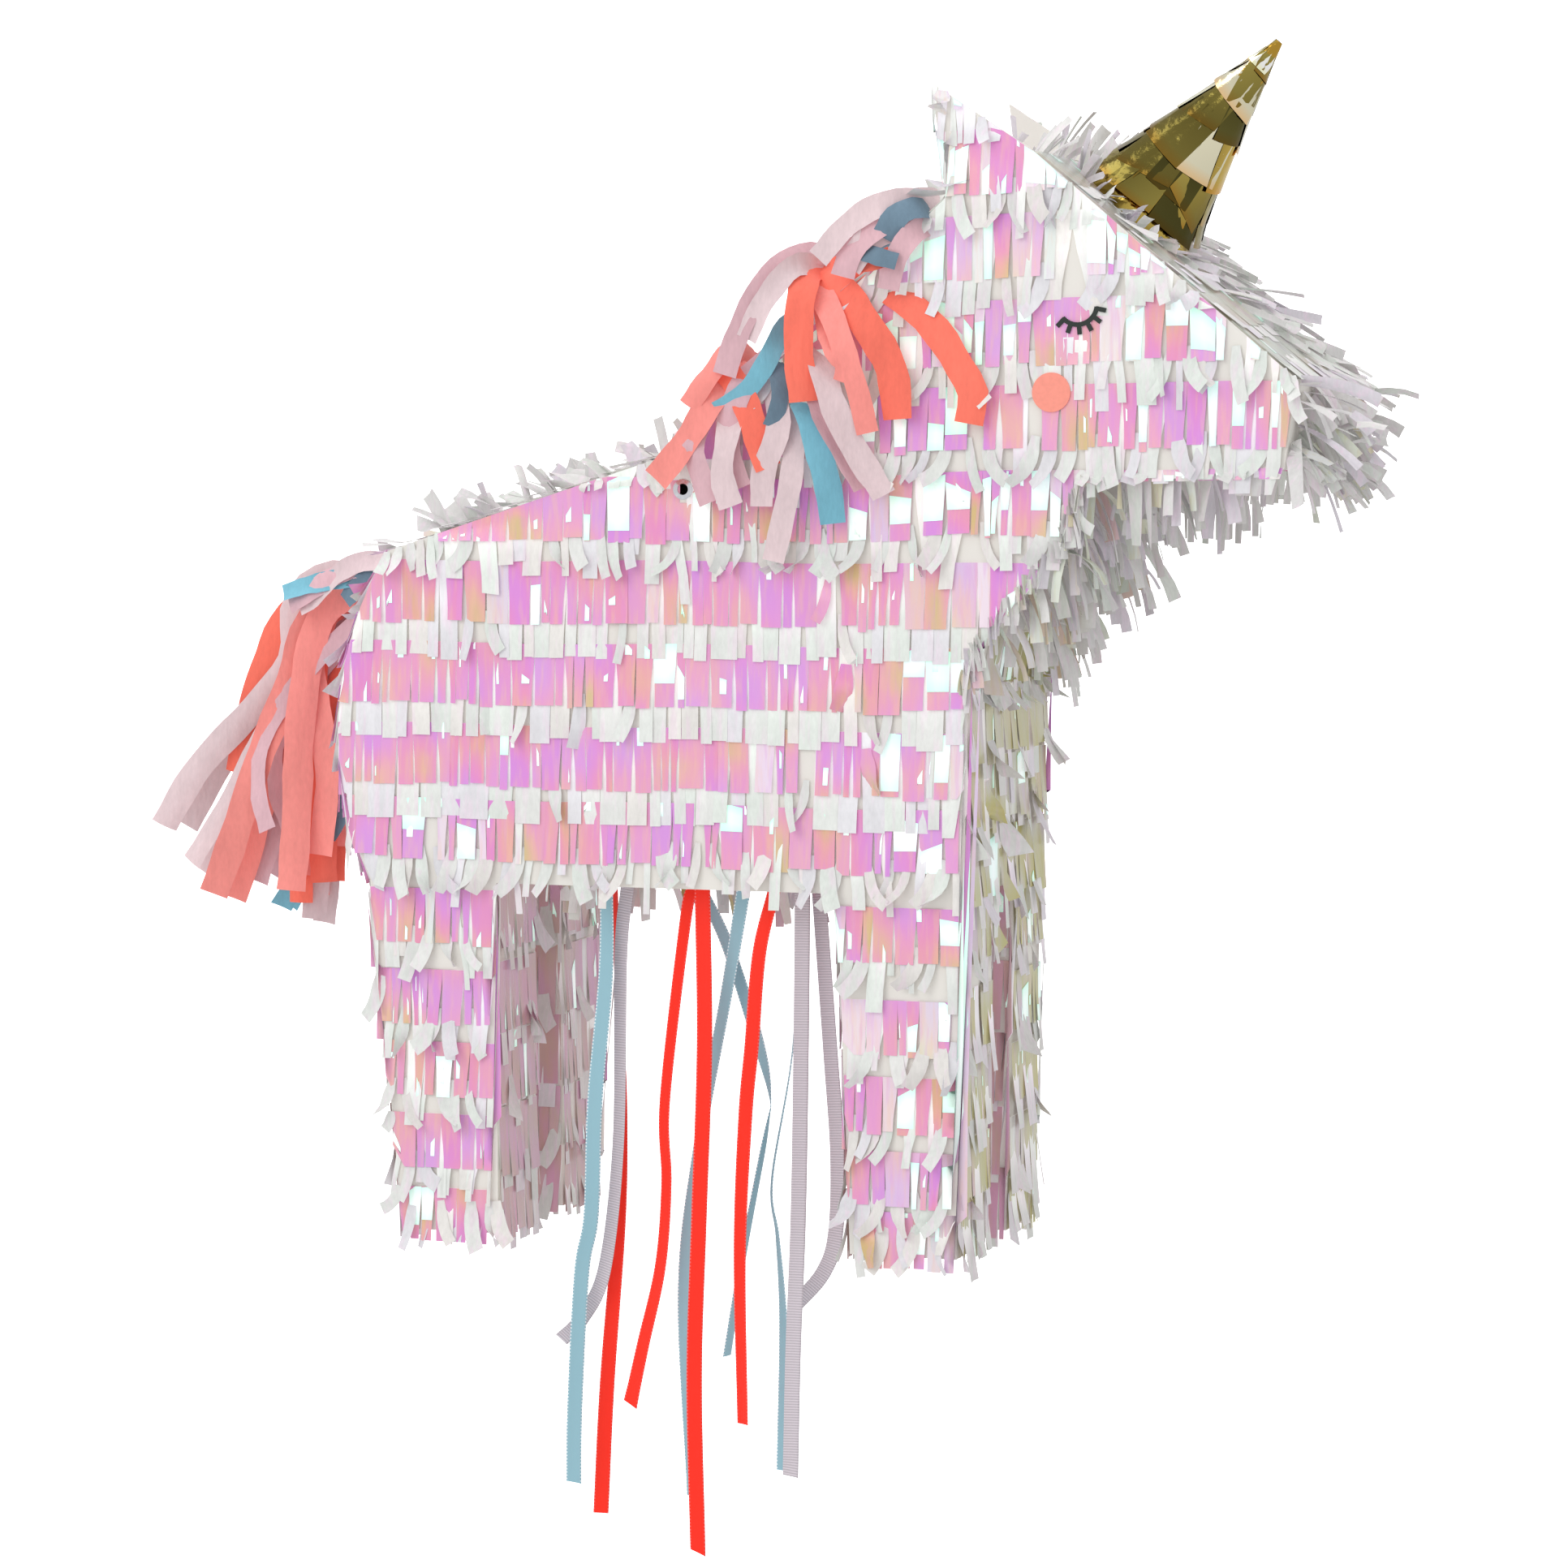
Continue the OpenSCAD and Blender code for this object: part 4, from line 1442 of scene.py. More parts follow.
@dataclass
class LegFringe:
    """The rows round the front, inside and back of the four leg boxes."""

    body: Body
    film_drop: float = 22 * MM
    tissue_drop: float = 10 * MM
    inner_drops: tuple[float, float] = (27 * MM, 6 * MM)
    rows: tuple[float, ...] = (-30, -68, -101, -135, -163)

    def faces(self, node: str) -> list[tuple[Face, Shimmer]]:
        """The three covered faces of one leg box.

        Args:
            node: the leg box.

        Returns:
            Each face with the film colours seen on it.
        """
        points = self.body.mesh_points(node)
        low, high = points.min(axis=0), points.max(axis=0)
        ends = [points[np.abs(points[:, 2] - z) < 0.1 * MM][:, 0] for z in (high[2], low[2])]
        rear, front = ([e.min() for e in ends], [e.max() for e in ends])
        left = low[1] > 0
        inner = low[1] if left else high[1]
        half = self.body.half_width() * (1 if left else -1)
        tall = high[2] - low[2]
        y0, y1 = min(inner, half), max(inner, half)
        made = []
        # The front legs' front faces take the olive colours, painted slant colour and shade; every other
        # face the dusky ones, painted shade.
        facing = OLIVE if node.startswith("front") else DUSK_IN_SHADE
        for (top, foot), sign, shimmer in ((front, 1, facing), (rear, -1, DUSK_IN_SHADE)):
            up = unit(np.array([top - foot, 0, tall]))
            out = np.array([sign * up[2], 0, -sign * up[0]])
            edge = np.array([[y0, -tall], [y0, 0], [y1, 0], [y1, -tall]])
            origin = np.array([top, 0, high[2]])
            made.append((Face(origin, np.array([0.0, 1, 0]), up, out, edge), shimmer))
        edge = np.array([[rear[1], -tall], [rear[0], 0], [front[0], 0], [front[1], -tall]])
        origin = np.array([0, inner, high[2]])
        out = np.array([0.0, -1 if left else 1, 0])
        made.append((Face(origin, np.array([1.0, 0, 0]), UP, out, edge), DUSK_IN_SHADE))
        return made

    def build(self) -> None:
        """Makes the film piece and the tissue piece of all the legs."""
        rng = np.random.default_rng(21)
        film, dusky, tissue = Leaves(), Leaves(), Leaves()
        soft = Cut(narrow=8 * MM, wide=16 * MM, base=0.4 * MM, lift=3.4 * MM, cup=0.8 * MM, sway=5,
                   stray=0.35, stray_angle=34, stray_lift=9 * MM, stray_width=8 * MM, ragged=0.15)
        calm = Cut(narrow=6 * MM, wide=14 * MM, base=0.4 * MM, lift=1.6 * MM, sway=3, stray=0.25,
                   stray_angle=30, stray_lift=6 * MM, stray_width=6 * MM, ragged=0.1)
        for node in ("front_right_leg", "front_left_leg", "rear_right_leg", "rear_left_leg"):
            for face, shimmer in self.faces(node):
                fringe = Fringe(face, rng, shimmer, dusky if shimmer is DUSK_IN_SHADE else film, tissue,
                                white=("#DCDAD8", "#DADCD7", "#DFDBDE"))
                inner = shimmer is DUSK_IN_SHADE
                drops = self.inner_drops if inner else (self.film_drop, self.tissue_drop)
                for row in self.rows:
                    fringe.strip(lambda u, row=row: row * MM, *drops, FILM_CUT, calm if inner else soft)
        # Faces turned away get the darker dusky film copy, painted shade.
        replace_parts(film.build("leg_film_fringe", SHADED_FILM), "leg_fringe")
        dusky.build("leg_inner_film_fringe", FILM_IN_SHADE)
        tissue.build("leg_tissue_fringe", TISSUE)


@dataclass
class EdgeFringe:
    """The loose fringe over the strips that close the body along its edge."""

    body: Body
    greys: tuple[str, ...] = ("#E2E1DF", "#DEDDDC", "#E5E4E2", "#DDE1DB", "#E1DCE3")

    def strips(self, node: str, name: str, rows: Sequence[float], shimmer: Shimmer, film_share: float,
               drops: tuple[float, float], film_cut: Cut, tissue_cut: Cut, seed: int) -> None:
        """Dresses one edge strip with rows that hang down its slope.

        Args:
            node: the board strip.
            name: the start of the names of the film and tissue pieces.
            rows: for each row, how far down the strip the film ends.
            shimmer: the film's colours there.
            film_share: share of fingers with film on them.
            drops: how much film shows and how far the tissue hangs below it, in millimetres.
            film_cut: how the film is cut.
            tissue_cut: how the tissue is cut.
            seed: starts the random numbers.
        """
        rng = np.random.default_rng(seed)
        film, tissue = Leaves(), Leaves()
        line = self.body.edge_line(node)
        rising = line[-1, 1] > line[0, 1]
        start = 0.0
        for a, b in zip(line[::-1], line[-2::-1]) if rising else zip(line, line[1:]):
            face = self.body.across(a, b)
            face.out = -face.out if rising else face.out
            long = -face.edge[:, 1].min()
            fringe = Fringe(face, rng, shimmer, film, tissue, white=self.greys, overhang=14 * MM)
            for row in rows:
                if start - 8 * MM < row * MM < start + long + 20 * MM:
                    fringe.strip(lambda u, row=row, start=start: start - row * MM, drops[0] * MM,
                                 drops[1] * MM, film_cut, tissue_cut, film_share)
            start += long
        made = [tissue.build(f"{name}_tissue", TISSUE)]
        if film.count:
            made.append(film.build(f"{name}_film", FILM if shimmer is ROSY else SHADED_FILM))
        if f"{name}_fringe" in self.body.frame["nodes"]:
            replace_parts(made[0], f"{name}_fringe")

    def build(self) -> None:
        """Dresses every edge strip."""
        shaggy = Cut(narrow=8 * MM, wide=16 * MM, base=0.5 * MM, lift=4 * MM, cup=1.2 * MM, sway=6,
                     stray=0.5, stray_angle=36, stray_lift=15 * MM, stray_width=10 * MM, ragged=0.18)
        sleek = Cut(narrow=6 * MM, wide=15 * MM, base=1.0 * MM, lift=2 * MM, cup=0.6 * MM, sway=2,
                    stray=0.06, stray_lift=8 * MM, ragged=0.06)
        low = Cut(narrow=6 * MM, wide=15 * MM, base=0.5 * MM, lift=2.2 * MM, cup=1 * MM, sway=7,
                  stray=0.2, stray_angle=30, stray_lift=9 * MM, ragged=0.15)
        ruffled = Cut(narrow=7 * MM, wide=14 * MM, base=0.5 * MM, lift=3 * MM, cup=1 * MM, sway=5,
                      stray=0.4, stray_angle=36, stray_lift=12 * MM, stray_width=9 * MM, ragged=0.15)
        flat = Cut(narrow=10 * MM, wide=22 * MM, slit=0.1 * MM, base=0.8 * MM, lift=0.4 * MM, cup=0.0,
                   sway=0.8, stray=0.0, ragged=0.04)
        smooth_tissue = Cut(narrow=8 * MM, wide=18 * MM, slit=0.1 * MM, base=0.4 * MM, lift=1.2 * MM,
                            cup=0.1 * MM, sway=1, stray=0.16, stray_lift=8 * MM, ragged=0.04)
        for seed, (node, name, rows, shimmer, share, drops, film_cut, tissue_cut) in enumerate((
            ("back_strip", "back", range(22, 170, 21), PEARL, 0.1, (14, 12), low, low),
            ("neck_strip", "neck", range(24, 180, 30), PEARL, 0.2, (18, 14), low, low),
            ("poll_strip", "poll", (16, 34, 46), PEARL, 0.3, (14, 14), sleek, shaggy),
            ("forehead_strip", "face", range(24, 165, 30), PEARL, 0.96, (26, 8), flat, smooth_tissue),
            # The chest faces the front: olive colours, painted slant colour and shade.
            ("chest_strip", "chest", range(22, 140, 32), OLIVE, 0.97, (26, 10), sleek, ruffled),
            ("rump_strip", "rump", range(24, 190, 34), ROSY, 0.95, (21, 13), sleek, low),
        ), start=31):
            self.strips(node, name, rows, shimmer, share, drops, film_cut, tissue_cut, seed)
        self.nose()
        self.jaw()
        self.throat()
        self.belly()
        self.ridge()
        self.brow()

    def tuft(self, leaves: Leaves, rng: np.random.Generator, root: Array, heading: Array, length: float,
             fall: float, width: float, side: Array, tone: Array, glow: float = 0.06) -> None:
        """Adds one loose finger that hangs free from its root.

        Args:
            leaves: where it goes.
            rng: random numbers.
            root: where it starts.
            heading: the way it sets out.
            length: its length.
            fall: how much it bends down.
            width: its width.
            side: the way its width runs.
            tone: its colour.
            glow: how much painted light it gives off by itself.
        """
        line = droop(root, heading, length, fall)
        turn = np.linspace(0, rng.normal(0, 0.5), len(line))
        taper = width * np.linspace(1.0, rng.uniform(0.8, 1.0), len(line))
        grid = strip(line, side, taper, turn + rng.normal(0, 0.2), cup=rng.uniform(-0.8, 1.2) * MM)
        leaves.add(grid, tint=np.broadcast_to(tone, (*grid.shape[:2], 3)), glow=glow)

    def shag(self, name: str, node: str, roots: Sequence[Loose],
             shimmer: Shimmer, film_share: float, seed: int) -> None:
        """Makes a shaggy stretch of free fingers.

        Args:
            name: the start of the pieces' names.
            node: the CAD node that it stands for.
            roots: for each finger its root, its heading, its length and its fall.
            shimmer: the film's colours there.
            film_share: share of the fingers that are film.
            seed: starts the random numbers.
        """
        rng = np.random.default_rng(seed)
        film, tissue = Leaves(), Leaves()
        for root, heading, length, fall in roots:
            angle = rng.uniform(-1.4, 0.9)
            side = np.array([math.sin(angle), math.cos(angle), rng.normal(0, 0.15)])
            width = rng.uniform(3.5, 8.5) * MM
            if rng.random() < film_share:
                tone = shimmer.at(root[0] + root[1], root[2], rng.normal(0, 0.2))
                self.tuft(film, rng, root, heading, length * 0.8, fall, width, side, tone)
            else:
                tone = linear(rng.choice(self.greys)) * rng.uniform(0.9, 1.02)
                self.tuft(tissue, rng, root, heading, length, fall, width, side, tone)
        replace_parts(tissue.build(f"{name}_tissue", TISSUE), node)
        film.build(f"{name}_film", SHADED_FILM)

    def scatter(self, rng: np.random.Generator, a: Array, b: Array, count: int, heading: Array,
                spread: float, lengths: tuple[float, float], fall: float,
                lift: float = 0.6 * MM) -> list[Loose]:
        """Roots for free fingers between two outline corners.

        Args:
            rng: random numbers.
            a: one corner, as X and Z.
            b: the other corner.
            count: how many fingers.
            heading: the way they set out.
            spread: how much their headings differ.
            lengths: the shortest and the longest.
            fall: how much they bend down.
            lift: how far off the board they start.

        Returns:
            A root, a heading, a length and a fall for each.
        """
        half = self.body.half_width() - 1 * MM
        way = unit(b - a)
        out = np.array([-way[1], 0, way[0]])
        made = []
        for _ in range(count):
            p = a + (b - a) * rng.random()
            root = np.array([p[0], rng.uniform(-half, half), p[1]]) + out * lift
            aim = heading + rng.normal(0, spread, 3) * np.array([1, 0.7, 1])
            if aim @ out < 0.15:
                aim = aim + out * (0.25 - aim @ out)
            made.append((root, aim, rng.uniform(*lengths) * MM, fall * rng.uniform(0.7, 1.2)))
        return made

    def nose(self) -> None:
        """Makes the shaggy fringe on the end of the nose."""
        rng = np.random.default_rng(41)
        a, b = self.body.edge_line("nose_strip")
        brow = unit(np.array([0.8, 0, -0.35]))
        roots = self.scatter(rng, a, b, 60, np.array([0.7, 0, -0.6]), 0.3, (12, 28), 0.55)
        roots += self.scatter(rng, a, (a + b) / 2, 34, brow, 0.34, (18, 36), 0.4)
        roots += self.scatter(rng, (a + b) / 2, b, 34, np.array([0.85, 0, -0.45]), 0.34, (18, 38), 0.45)
        self.shag("nose", "nose_fringe", roots, PEARL, 0.25, 42)

    def jaw(self) -> None:
        """Makes the fringe that hangs under the jaw."""
        rng = np.random.default_rng(43)
        a, b = self.body.edge_line("jaw_strip")
        mid = a + (b - a) * 0.35
        roots = self.scatter(rng, a, mid, 30, -UP, 0.34, (8, 18), 0.9)
        roots += self.scatter(rng, mid, b + (a - b) * 0.08, 80, -UP, 0.36, (16, 36), 0.9)
        self.shag("jaw", "jaw_fringe", roots, PEARL, 0.2, 44)

    def throat(self) -> None:
        """Makes the long fringe that hangs off the throat."""
        rng = np.random.default_rng(45)
        line = self.body.edge_line("throat_strip")
        roots = []
        for a, b, count in zip(line, line[1:], (50, 120)):
            roots += self.scatter(rng, a, b, count, np.array([0.42, 0, -0.8]), 0.26, (18, 38), 0.85)
        half = self.body.half_width()
        breast = self.body.edge_line("chest_strip")
        for a, b in ((line[0], line[1]), (line[1], line[2]), (breast[0], breast[1])):
            loose = self.scatter(rng, a, b, 26, np.array([0.1, 0, -1.0]), 0.3, (8, 20), 0.9)
            for root, aim, length, fall in loose:
                for side in Side:
                    near = np.array([root[0] - 3 * MM, side.value * (half + 1 * MM), root[2]])
                    roots.append((near, aim + np.array([0, 0.15 * side.value, 0]), length, fall))
        self.shag("throat", "throat_fringe", roots, PEARL, 0.3, 46)

    def belly(self) -> None:
        """Covers the trapdoor underneath and lets scraps hang near its opening edge."""
        rng = np.random.default_rng(47)
        low, _ = (np.array(c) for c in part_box("belly_panel"))
        door_low, door_high = (np.array(c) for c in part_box("trapdoor"))
        cut = Cut(narrow=5 * MM, wide=12 * MM, base=0.3 * MM, lift=1.4 * MM, sway=3, stray=0.08,
                  stray_lift=4 * MM)
        hinge = -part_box("door_hinge_tape")[0][1] + 3 * MM
        door_edge = np.array([[door_low[0], hinge], [door_low[0], -door_low[1]],
                              [door_high[0], -door_low[1]], [door_high[0], hinge]])
        # The underside's film takes the dusky colours and film finish, painted shade; the hanging film
        # scraps take the olive colours, painted slant colour and shade.
        fringe = Fringe(Face(np.array([0, 0, door_low[2]]), np.array([1.0, 0, 0]), np.array([0, -1.0, 0]),
                             -UP, door_edge), rng, DUSK_IN_SHADE, overhang=0.0)
        depth = -door_low[1] - hinge
        for k in range(1, 4):
            height = -door_low[1] - depth * k / 3
            fringe.strip(lambda u, height=height: height + 3 * MM, 22 * MM, 3 * MM, cut, cut,
                         hidden=1 * MM)
        for _ in range(26):
            x = rng.uniform(door_low[0] + 4 * MM, door_high[0] - 2 * MM)
            root = np.array([x, door_low[1] + rng.uniform(9, 22) * MM, low[2] - 0.6 * MM])
            aim = -UP + rng.normal(0, 0.22, 3)
            angle = rng.uniform(-0.5, 0.5)
            side = np.array([math.cos(angle), math.sin(angle), 0])
            leaves, tone, width = fringe.tissue, linear(rng.choice(self.greys)), 6 * MM
            if rng.random() < 0.5:
                leaves, tone, width = fringe.film, OLIVE.at(x, root[2], rng.normal(0, 0.25)), 4 * MM
            self.tuft(leaves, rng, root, aim, rng.uniform(9, 20) * MM, 0.5, width, side, tone)
        fringe.film.build("trapdoor_film", FILM_IN_SHADE, "door")
        fringe.tissue.build("trapdoor_tissue", TISSUE, "door")

    def ridge(self) -> None:
        """Stands loose tissue ends up along the back and the nape."""
        rng = np.random.default_rng(49)
        leaves = Leaves()
        a, b = self.body.edge_line("back_strip")
        c, d = self.body.edge_line("neck_strip")
        heading = np.array([-0.75, 0, 0.6])
        roots = self.scatter(rng, a + (b - a) * 0.12, b, 105, heading, 0.4, (10, 22), 0.35)
        roots += self.scatter(rng, c, c + (d - c) * 0.2, 16, heading, 0.35, (8, 14), 0.35)
        for root, aim, length, fall in roots:
            angle = rng.uniform(-1.4, 1.4)
            side = np.array([math.sin(angle), math.cos(angle), 0.2])
            tone = linear(rng.choice(self.greys)) * rng.uniform(0.82, 0.95)
            # Painted light: the loose ends glow a little.
            self.tuft(leaves, rng, root, aim, length, fall, rng.uniform(5, 10) * MM, side, tone, 0.05)
        leaves.build("back_loose_ends", TISSUE)

    def brow(self) -> None:
        """Stands shaggy tissue on the far half of the forehead, round the horn's foot and behind it."""
        rng = np.random.default_rng(53)
        a, b = self.body.edge_line("forehead_strip")
        slope = unit(np.array([b[0] - a[0], 0, b[1] - a[1]]))
        foot, axis, _, radius = Horn(self.body).stance()
        side = np.array([0.0, 1, 0])
        front = np.cross(side, axis)
        down = slope + side * 0.3
        roots = [job for job in self.scatter(rng, a, b, 230, down, 0.26, (12, 30), 0.12)
                 if job[0][1] > -8 * MM and np.linalg.norm(np.cross(job[0] - foot, axis)) > radius]
        for turn in rng.uniform(0, math.tau, 64):
            radial = front * math.cos(turn) + side * math.sin(turn)
            behind = max(0.0, float(-radial @ slope))
            root = foot + radial * (radius + rng.uniform(0, 5) * MM)
            aim = axis * (0.3 + 0.5 * behind) + radial * 0.6 + slope * 0.35 + rng.normal(0, 0.2, 3)
            roots.append((root, aim, rng.uniform(9, 16 + 14 * behind) * MM, 0.2))
        poll = self.body.edge_line("poll_strip")
        rise = np.array([0.45, 0.1, 0.8])
        roots += [job for job in self.scatter(rng, poll[0], poll[-1], 46, rise, 0.35, (14, 30), 0.25)
                  if abs(job[0][1]) < 0.75 * self.body.half_width()]
        leaves = Leaves()
        for root, aim, length, fall in roots:
            turn = rng.uniform(-1.2, 1.2)
            lie = np.array([math.sin(turn), math.cos(turn), 0.2])
            tone = linear(rng.choice(self.greys)) * rng.uniform(0.84, 1.02)
            # Painted light: the loose ends glow a little.
            self.tuft(leaves, rng, root, aim, length, fall, rng.uniform(3, 7) * MM, lie, tone, 0.08)
        leaves.build("forehead_loose_ends", TISSUE)


# ---------------------------------------------------------------- horn


@dataclass
class Horn:
    """Gold foil squares laid in overlapping rings up the horn's card cone."""

    body: Body
    rings: int = 6
    tile: float = 23 * MM
    # Gold tones; the dark olive ones and the near-white one are painted reflections, of a darker room and
    # of the lamps.
    tones: tuple[str, ...] = ("#C2A650", "#A4924A", "#80743A", "#504B26", "#D9C26A", "#FFF8D8", "#8E803C")

    def stance(self) -> tuple[Array, Array, float, float]:
        """The middle of the horn's foot, its axis, its height and its radius at the foot.

        Returns:
            Those four, in that order.
        """
        points = self.body.mesh_points("horn_foil")
        a, b = self.body.edge_line("forehead_strip")
        slope = unit(np.array([b[0] - a[0], 0, b[1] - a[1]]))
        axis = np.array([-slope[2], 0, slope[0]])
        heights = points @ axis
        tip = points[heights > heights.max() - 0.2 * MM].mean(axis=0)
        foot_level = heights.min()
        tall = heights.max() - foot_level
        foot = tip - axis * tall
        radius = float(np.linalg.norm(np.cross(points - foot, axis), axis=1).max())
        return foot, axis, float(tall), radius

    def build(self) -> None:
        """Wraps the cone."""
        rng = np.random.default_rng(51)
        foot, axis, tall, radius = self.stance()
        side = np.array([0.0, 1, 0])
        front = np.cross(side, axis)
        leaves = Leaves()

        def at(h: Array, turn: Array, lift: Array) -> Array:
            """Points on and over the cone.

            Args:
                h: share of the height.
                turn: angle round the axis from the front.
                lift: distance off the cone.

            Returns:
                The points.
            """
            r = radius * (1 - h) + 1.2 * MM + lift
            return (foot + axis * (h * tall)[..., None] + front * (r * np.cos(turn))[..., None]
                    + side * (r * np.sin(turn))[..., None])

        for ring in range(self.rings):
            top = (ring + 1.6) / self.rings
            low = max(ring / self.rings - 0.015, 0.065)
            mean = radius * (1 - (ring + 0.4) / self.rings)
            count = max(3, round(math.tau * mean / (self.tile * 0.66)))
            for k in range(count):
                middle = math.tau * (k + 0.5 * (ring % 2) + rng.uniform(-0.3, 0.3)) / count
                half = 0.5 * self.tile * rng.uniform(0.8, 1.15) / max(mean, 5 * MM)
                lean = rng.normal(0, 0.3)
                v = np.linspace(0, 1, 6)[:, None]
                c = np.linspace(-1, 1, 7)[None, :]
                start = low + rng.uniform(-0.01, 0.05)
                h = start + (min(top, 0.995) - start) * v + lean * 0.06 * c
                r_here = radius * (1 - np.clip(h, 0, 0.99))
                turn = middle + half * c * np.minimum(1.4, (mean / np.maximum(r_here, 3 * MM)) ** 0.5)
                turn = turn + lean * 0.25 * (1 - v)
                flare = rng.uniform(0.3, 3.2 if ring == 0 else 1.4) * MM
                lift = flare * (1 - v) ** 2 + rng.uniform(0.1, 0.7) * MM + 0.4 * MM * c**2 * (1 - v)
                # Painted reflection: each tile's brightness is random and runs from light to dark across it
                # and along it; its lowest row is made warmer and darker.
                tone = linear(rng.choice(self.tones)) * rng.uniform(0.7, 1.25)
                tint = np.broadcast_to(tone, (6, 7, 3)) * (1 + rng.uniform(-0.35, 0.35) * c)[..., None]
                tint = tint * (1 + rng.uniform(-0.3, 0.3) * (2 * v - 1))[..., None]
                tint[0] *= np.array([1.1, 0.8, 0.55])
                leaves.add(at(np.clip(h, 0.0, 1.0), turn, lift), tint=np.clip(tint, 0, 1))
        v = np.linspace(0, 1, 10)[:, None]
        c = np.linspace(0, math.tau * 1.15, 25)[None, :]
        roll = at(0.72 + 0.28 * v + 0 * c, c + 2.2 * v, 0.3 * MM + 0.35 * MM * c / math.tau + 0 * v)
        leaves.add(roll, tint=linear("#B8923A"))
        leaves.build("horn_foil_tiles", GOLD)


# ---------------------------------------------------------------- mane and tail


class Tone(Enum):
    """The tissue colours of the mane and tail."""

    CORAL = "#FF7A66"
    SALMON = "#F8958D"
    PINK = "#E3CDD0"
    BLUSH = "#DDB4BC"
    BLUE = "#7FBFD3"
    # A darker copy of the blue: painted shade on blue strands.
    SHADED_BLUE = "#6F8799"


@dataclass
class Tassels:
    """Shared making of tissue strands."""

    body: Body
    leaves: Leaves = field(default_factory=Leaves)

    def strand(self, rng: np.random.Generator, knots: Sequence[Sequence[float]], tone: Tone,
               width: float = 12 * MM, facing: Sequence[float] | Array = (0.3, -1, 0.25),
               turn: float = 0.0, roll: float = 0.3, steps: int = 24) -> None:
        """Adds one crumpled strand of tissue.

        Args:
            rng: random numbers.
            knots: the points that it passes, in metres.
            tone: its colour.
            width: its width.
            facing: the way its flat face looks.
            turn: how far it is turned at its root, in radians.
            roll: how far it turns along its length, in radians.
            steps: points along it.
        """
        line = spline(knots, steps)
        t = np.linspace(0, 1, steps)
        wobble = np.stack([np.sin(t * rng.uniform(5, 11) + rng.uniform(0, 6)) for _ in range(3)], 1)
        line = line + wobble * (0.6 * MM) * smooth(t, 0, 0.2)[:, None]
        turns = turn + roll * t + 0.18 * np.sin(t * rng.uniform(8, 16) + rng.uniform(0, 6))
        shape = width * (0.5 + 0.5 * smooth(t, 0, 0.25)) * (1 + 0.04 * np.sin(t * 37))
        side = np.cross(np.gradient(line, axis=0), np.asarray(facing, float))
        grid = strip(line, side, shape, turns, cup=rng.uniform(-1.6, 1.6) * MM, columns=5)
        crumple = 0.35 * MM * np.sin(t * 60 + rng.uniform(0, 6))[:, None] * np.linspace(-1, 1, 5)[None, :]
        grid = grid + crumple[..., None] * np.array([0, 1.0, 0.3])
        base = linear(tone.value) * rng.uniform(0.94, 1.05)
        fade = 1 + 0.05 * np.sin(t * 9 + rng.uniform(0, 6))[:, None, None]
        # Painted light: the strands glow a little.
        self.leaves.add(grid, tint=np.clip(base * fade * np.ones((steps, 5, 1)), 0, 1), glow=0.06)


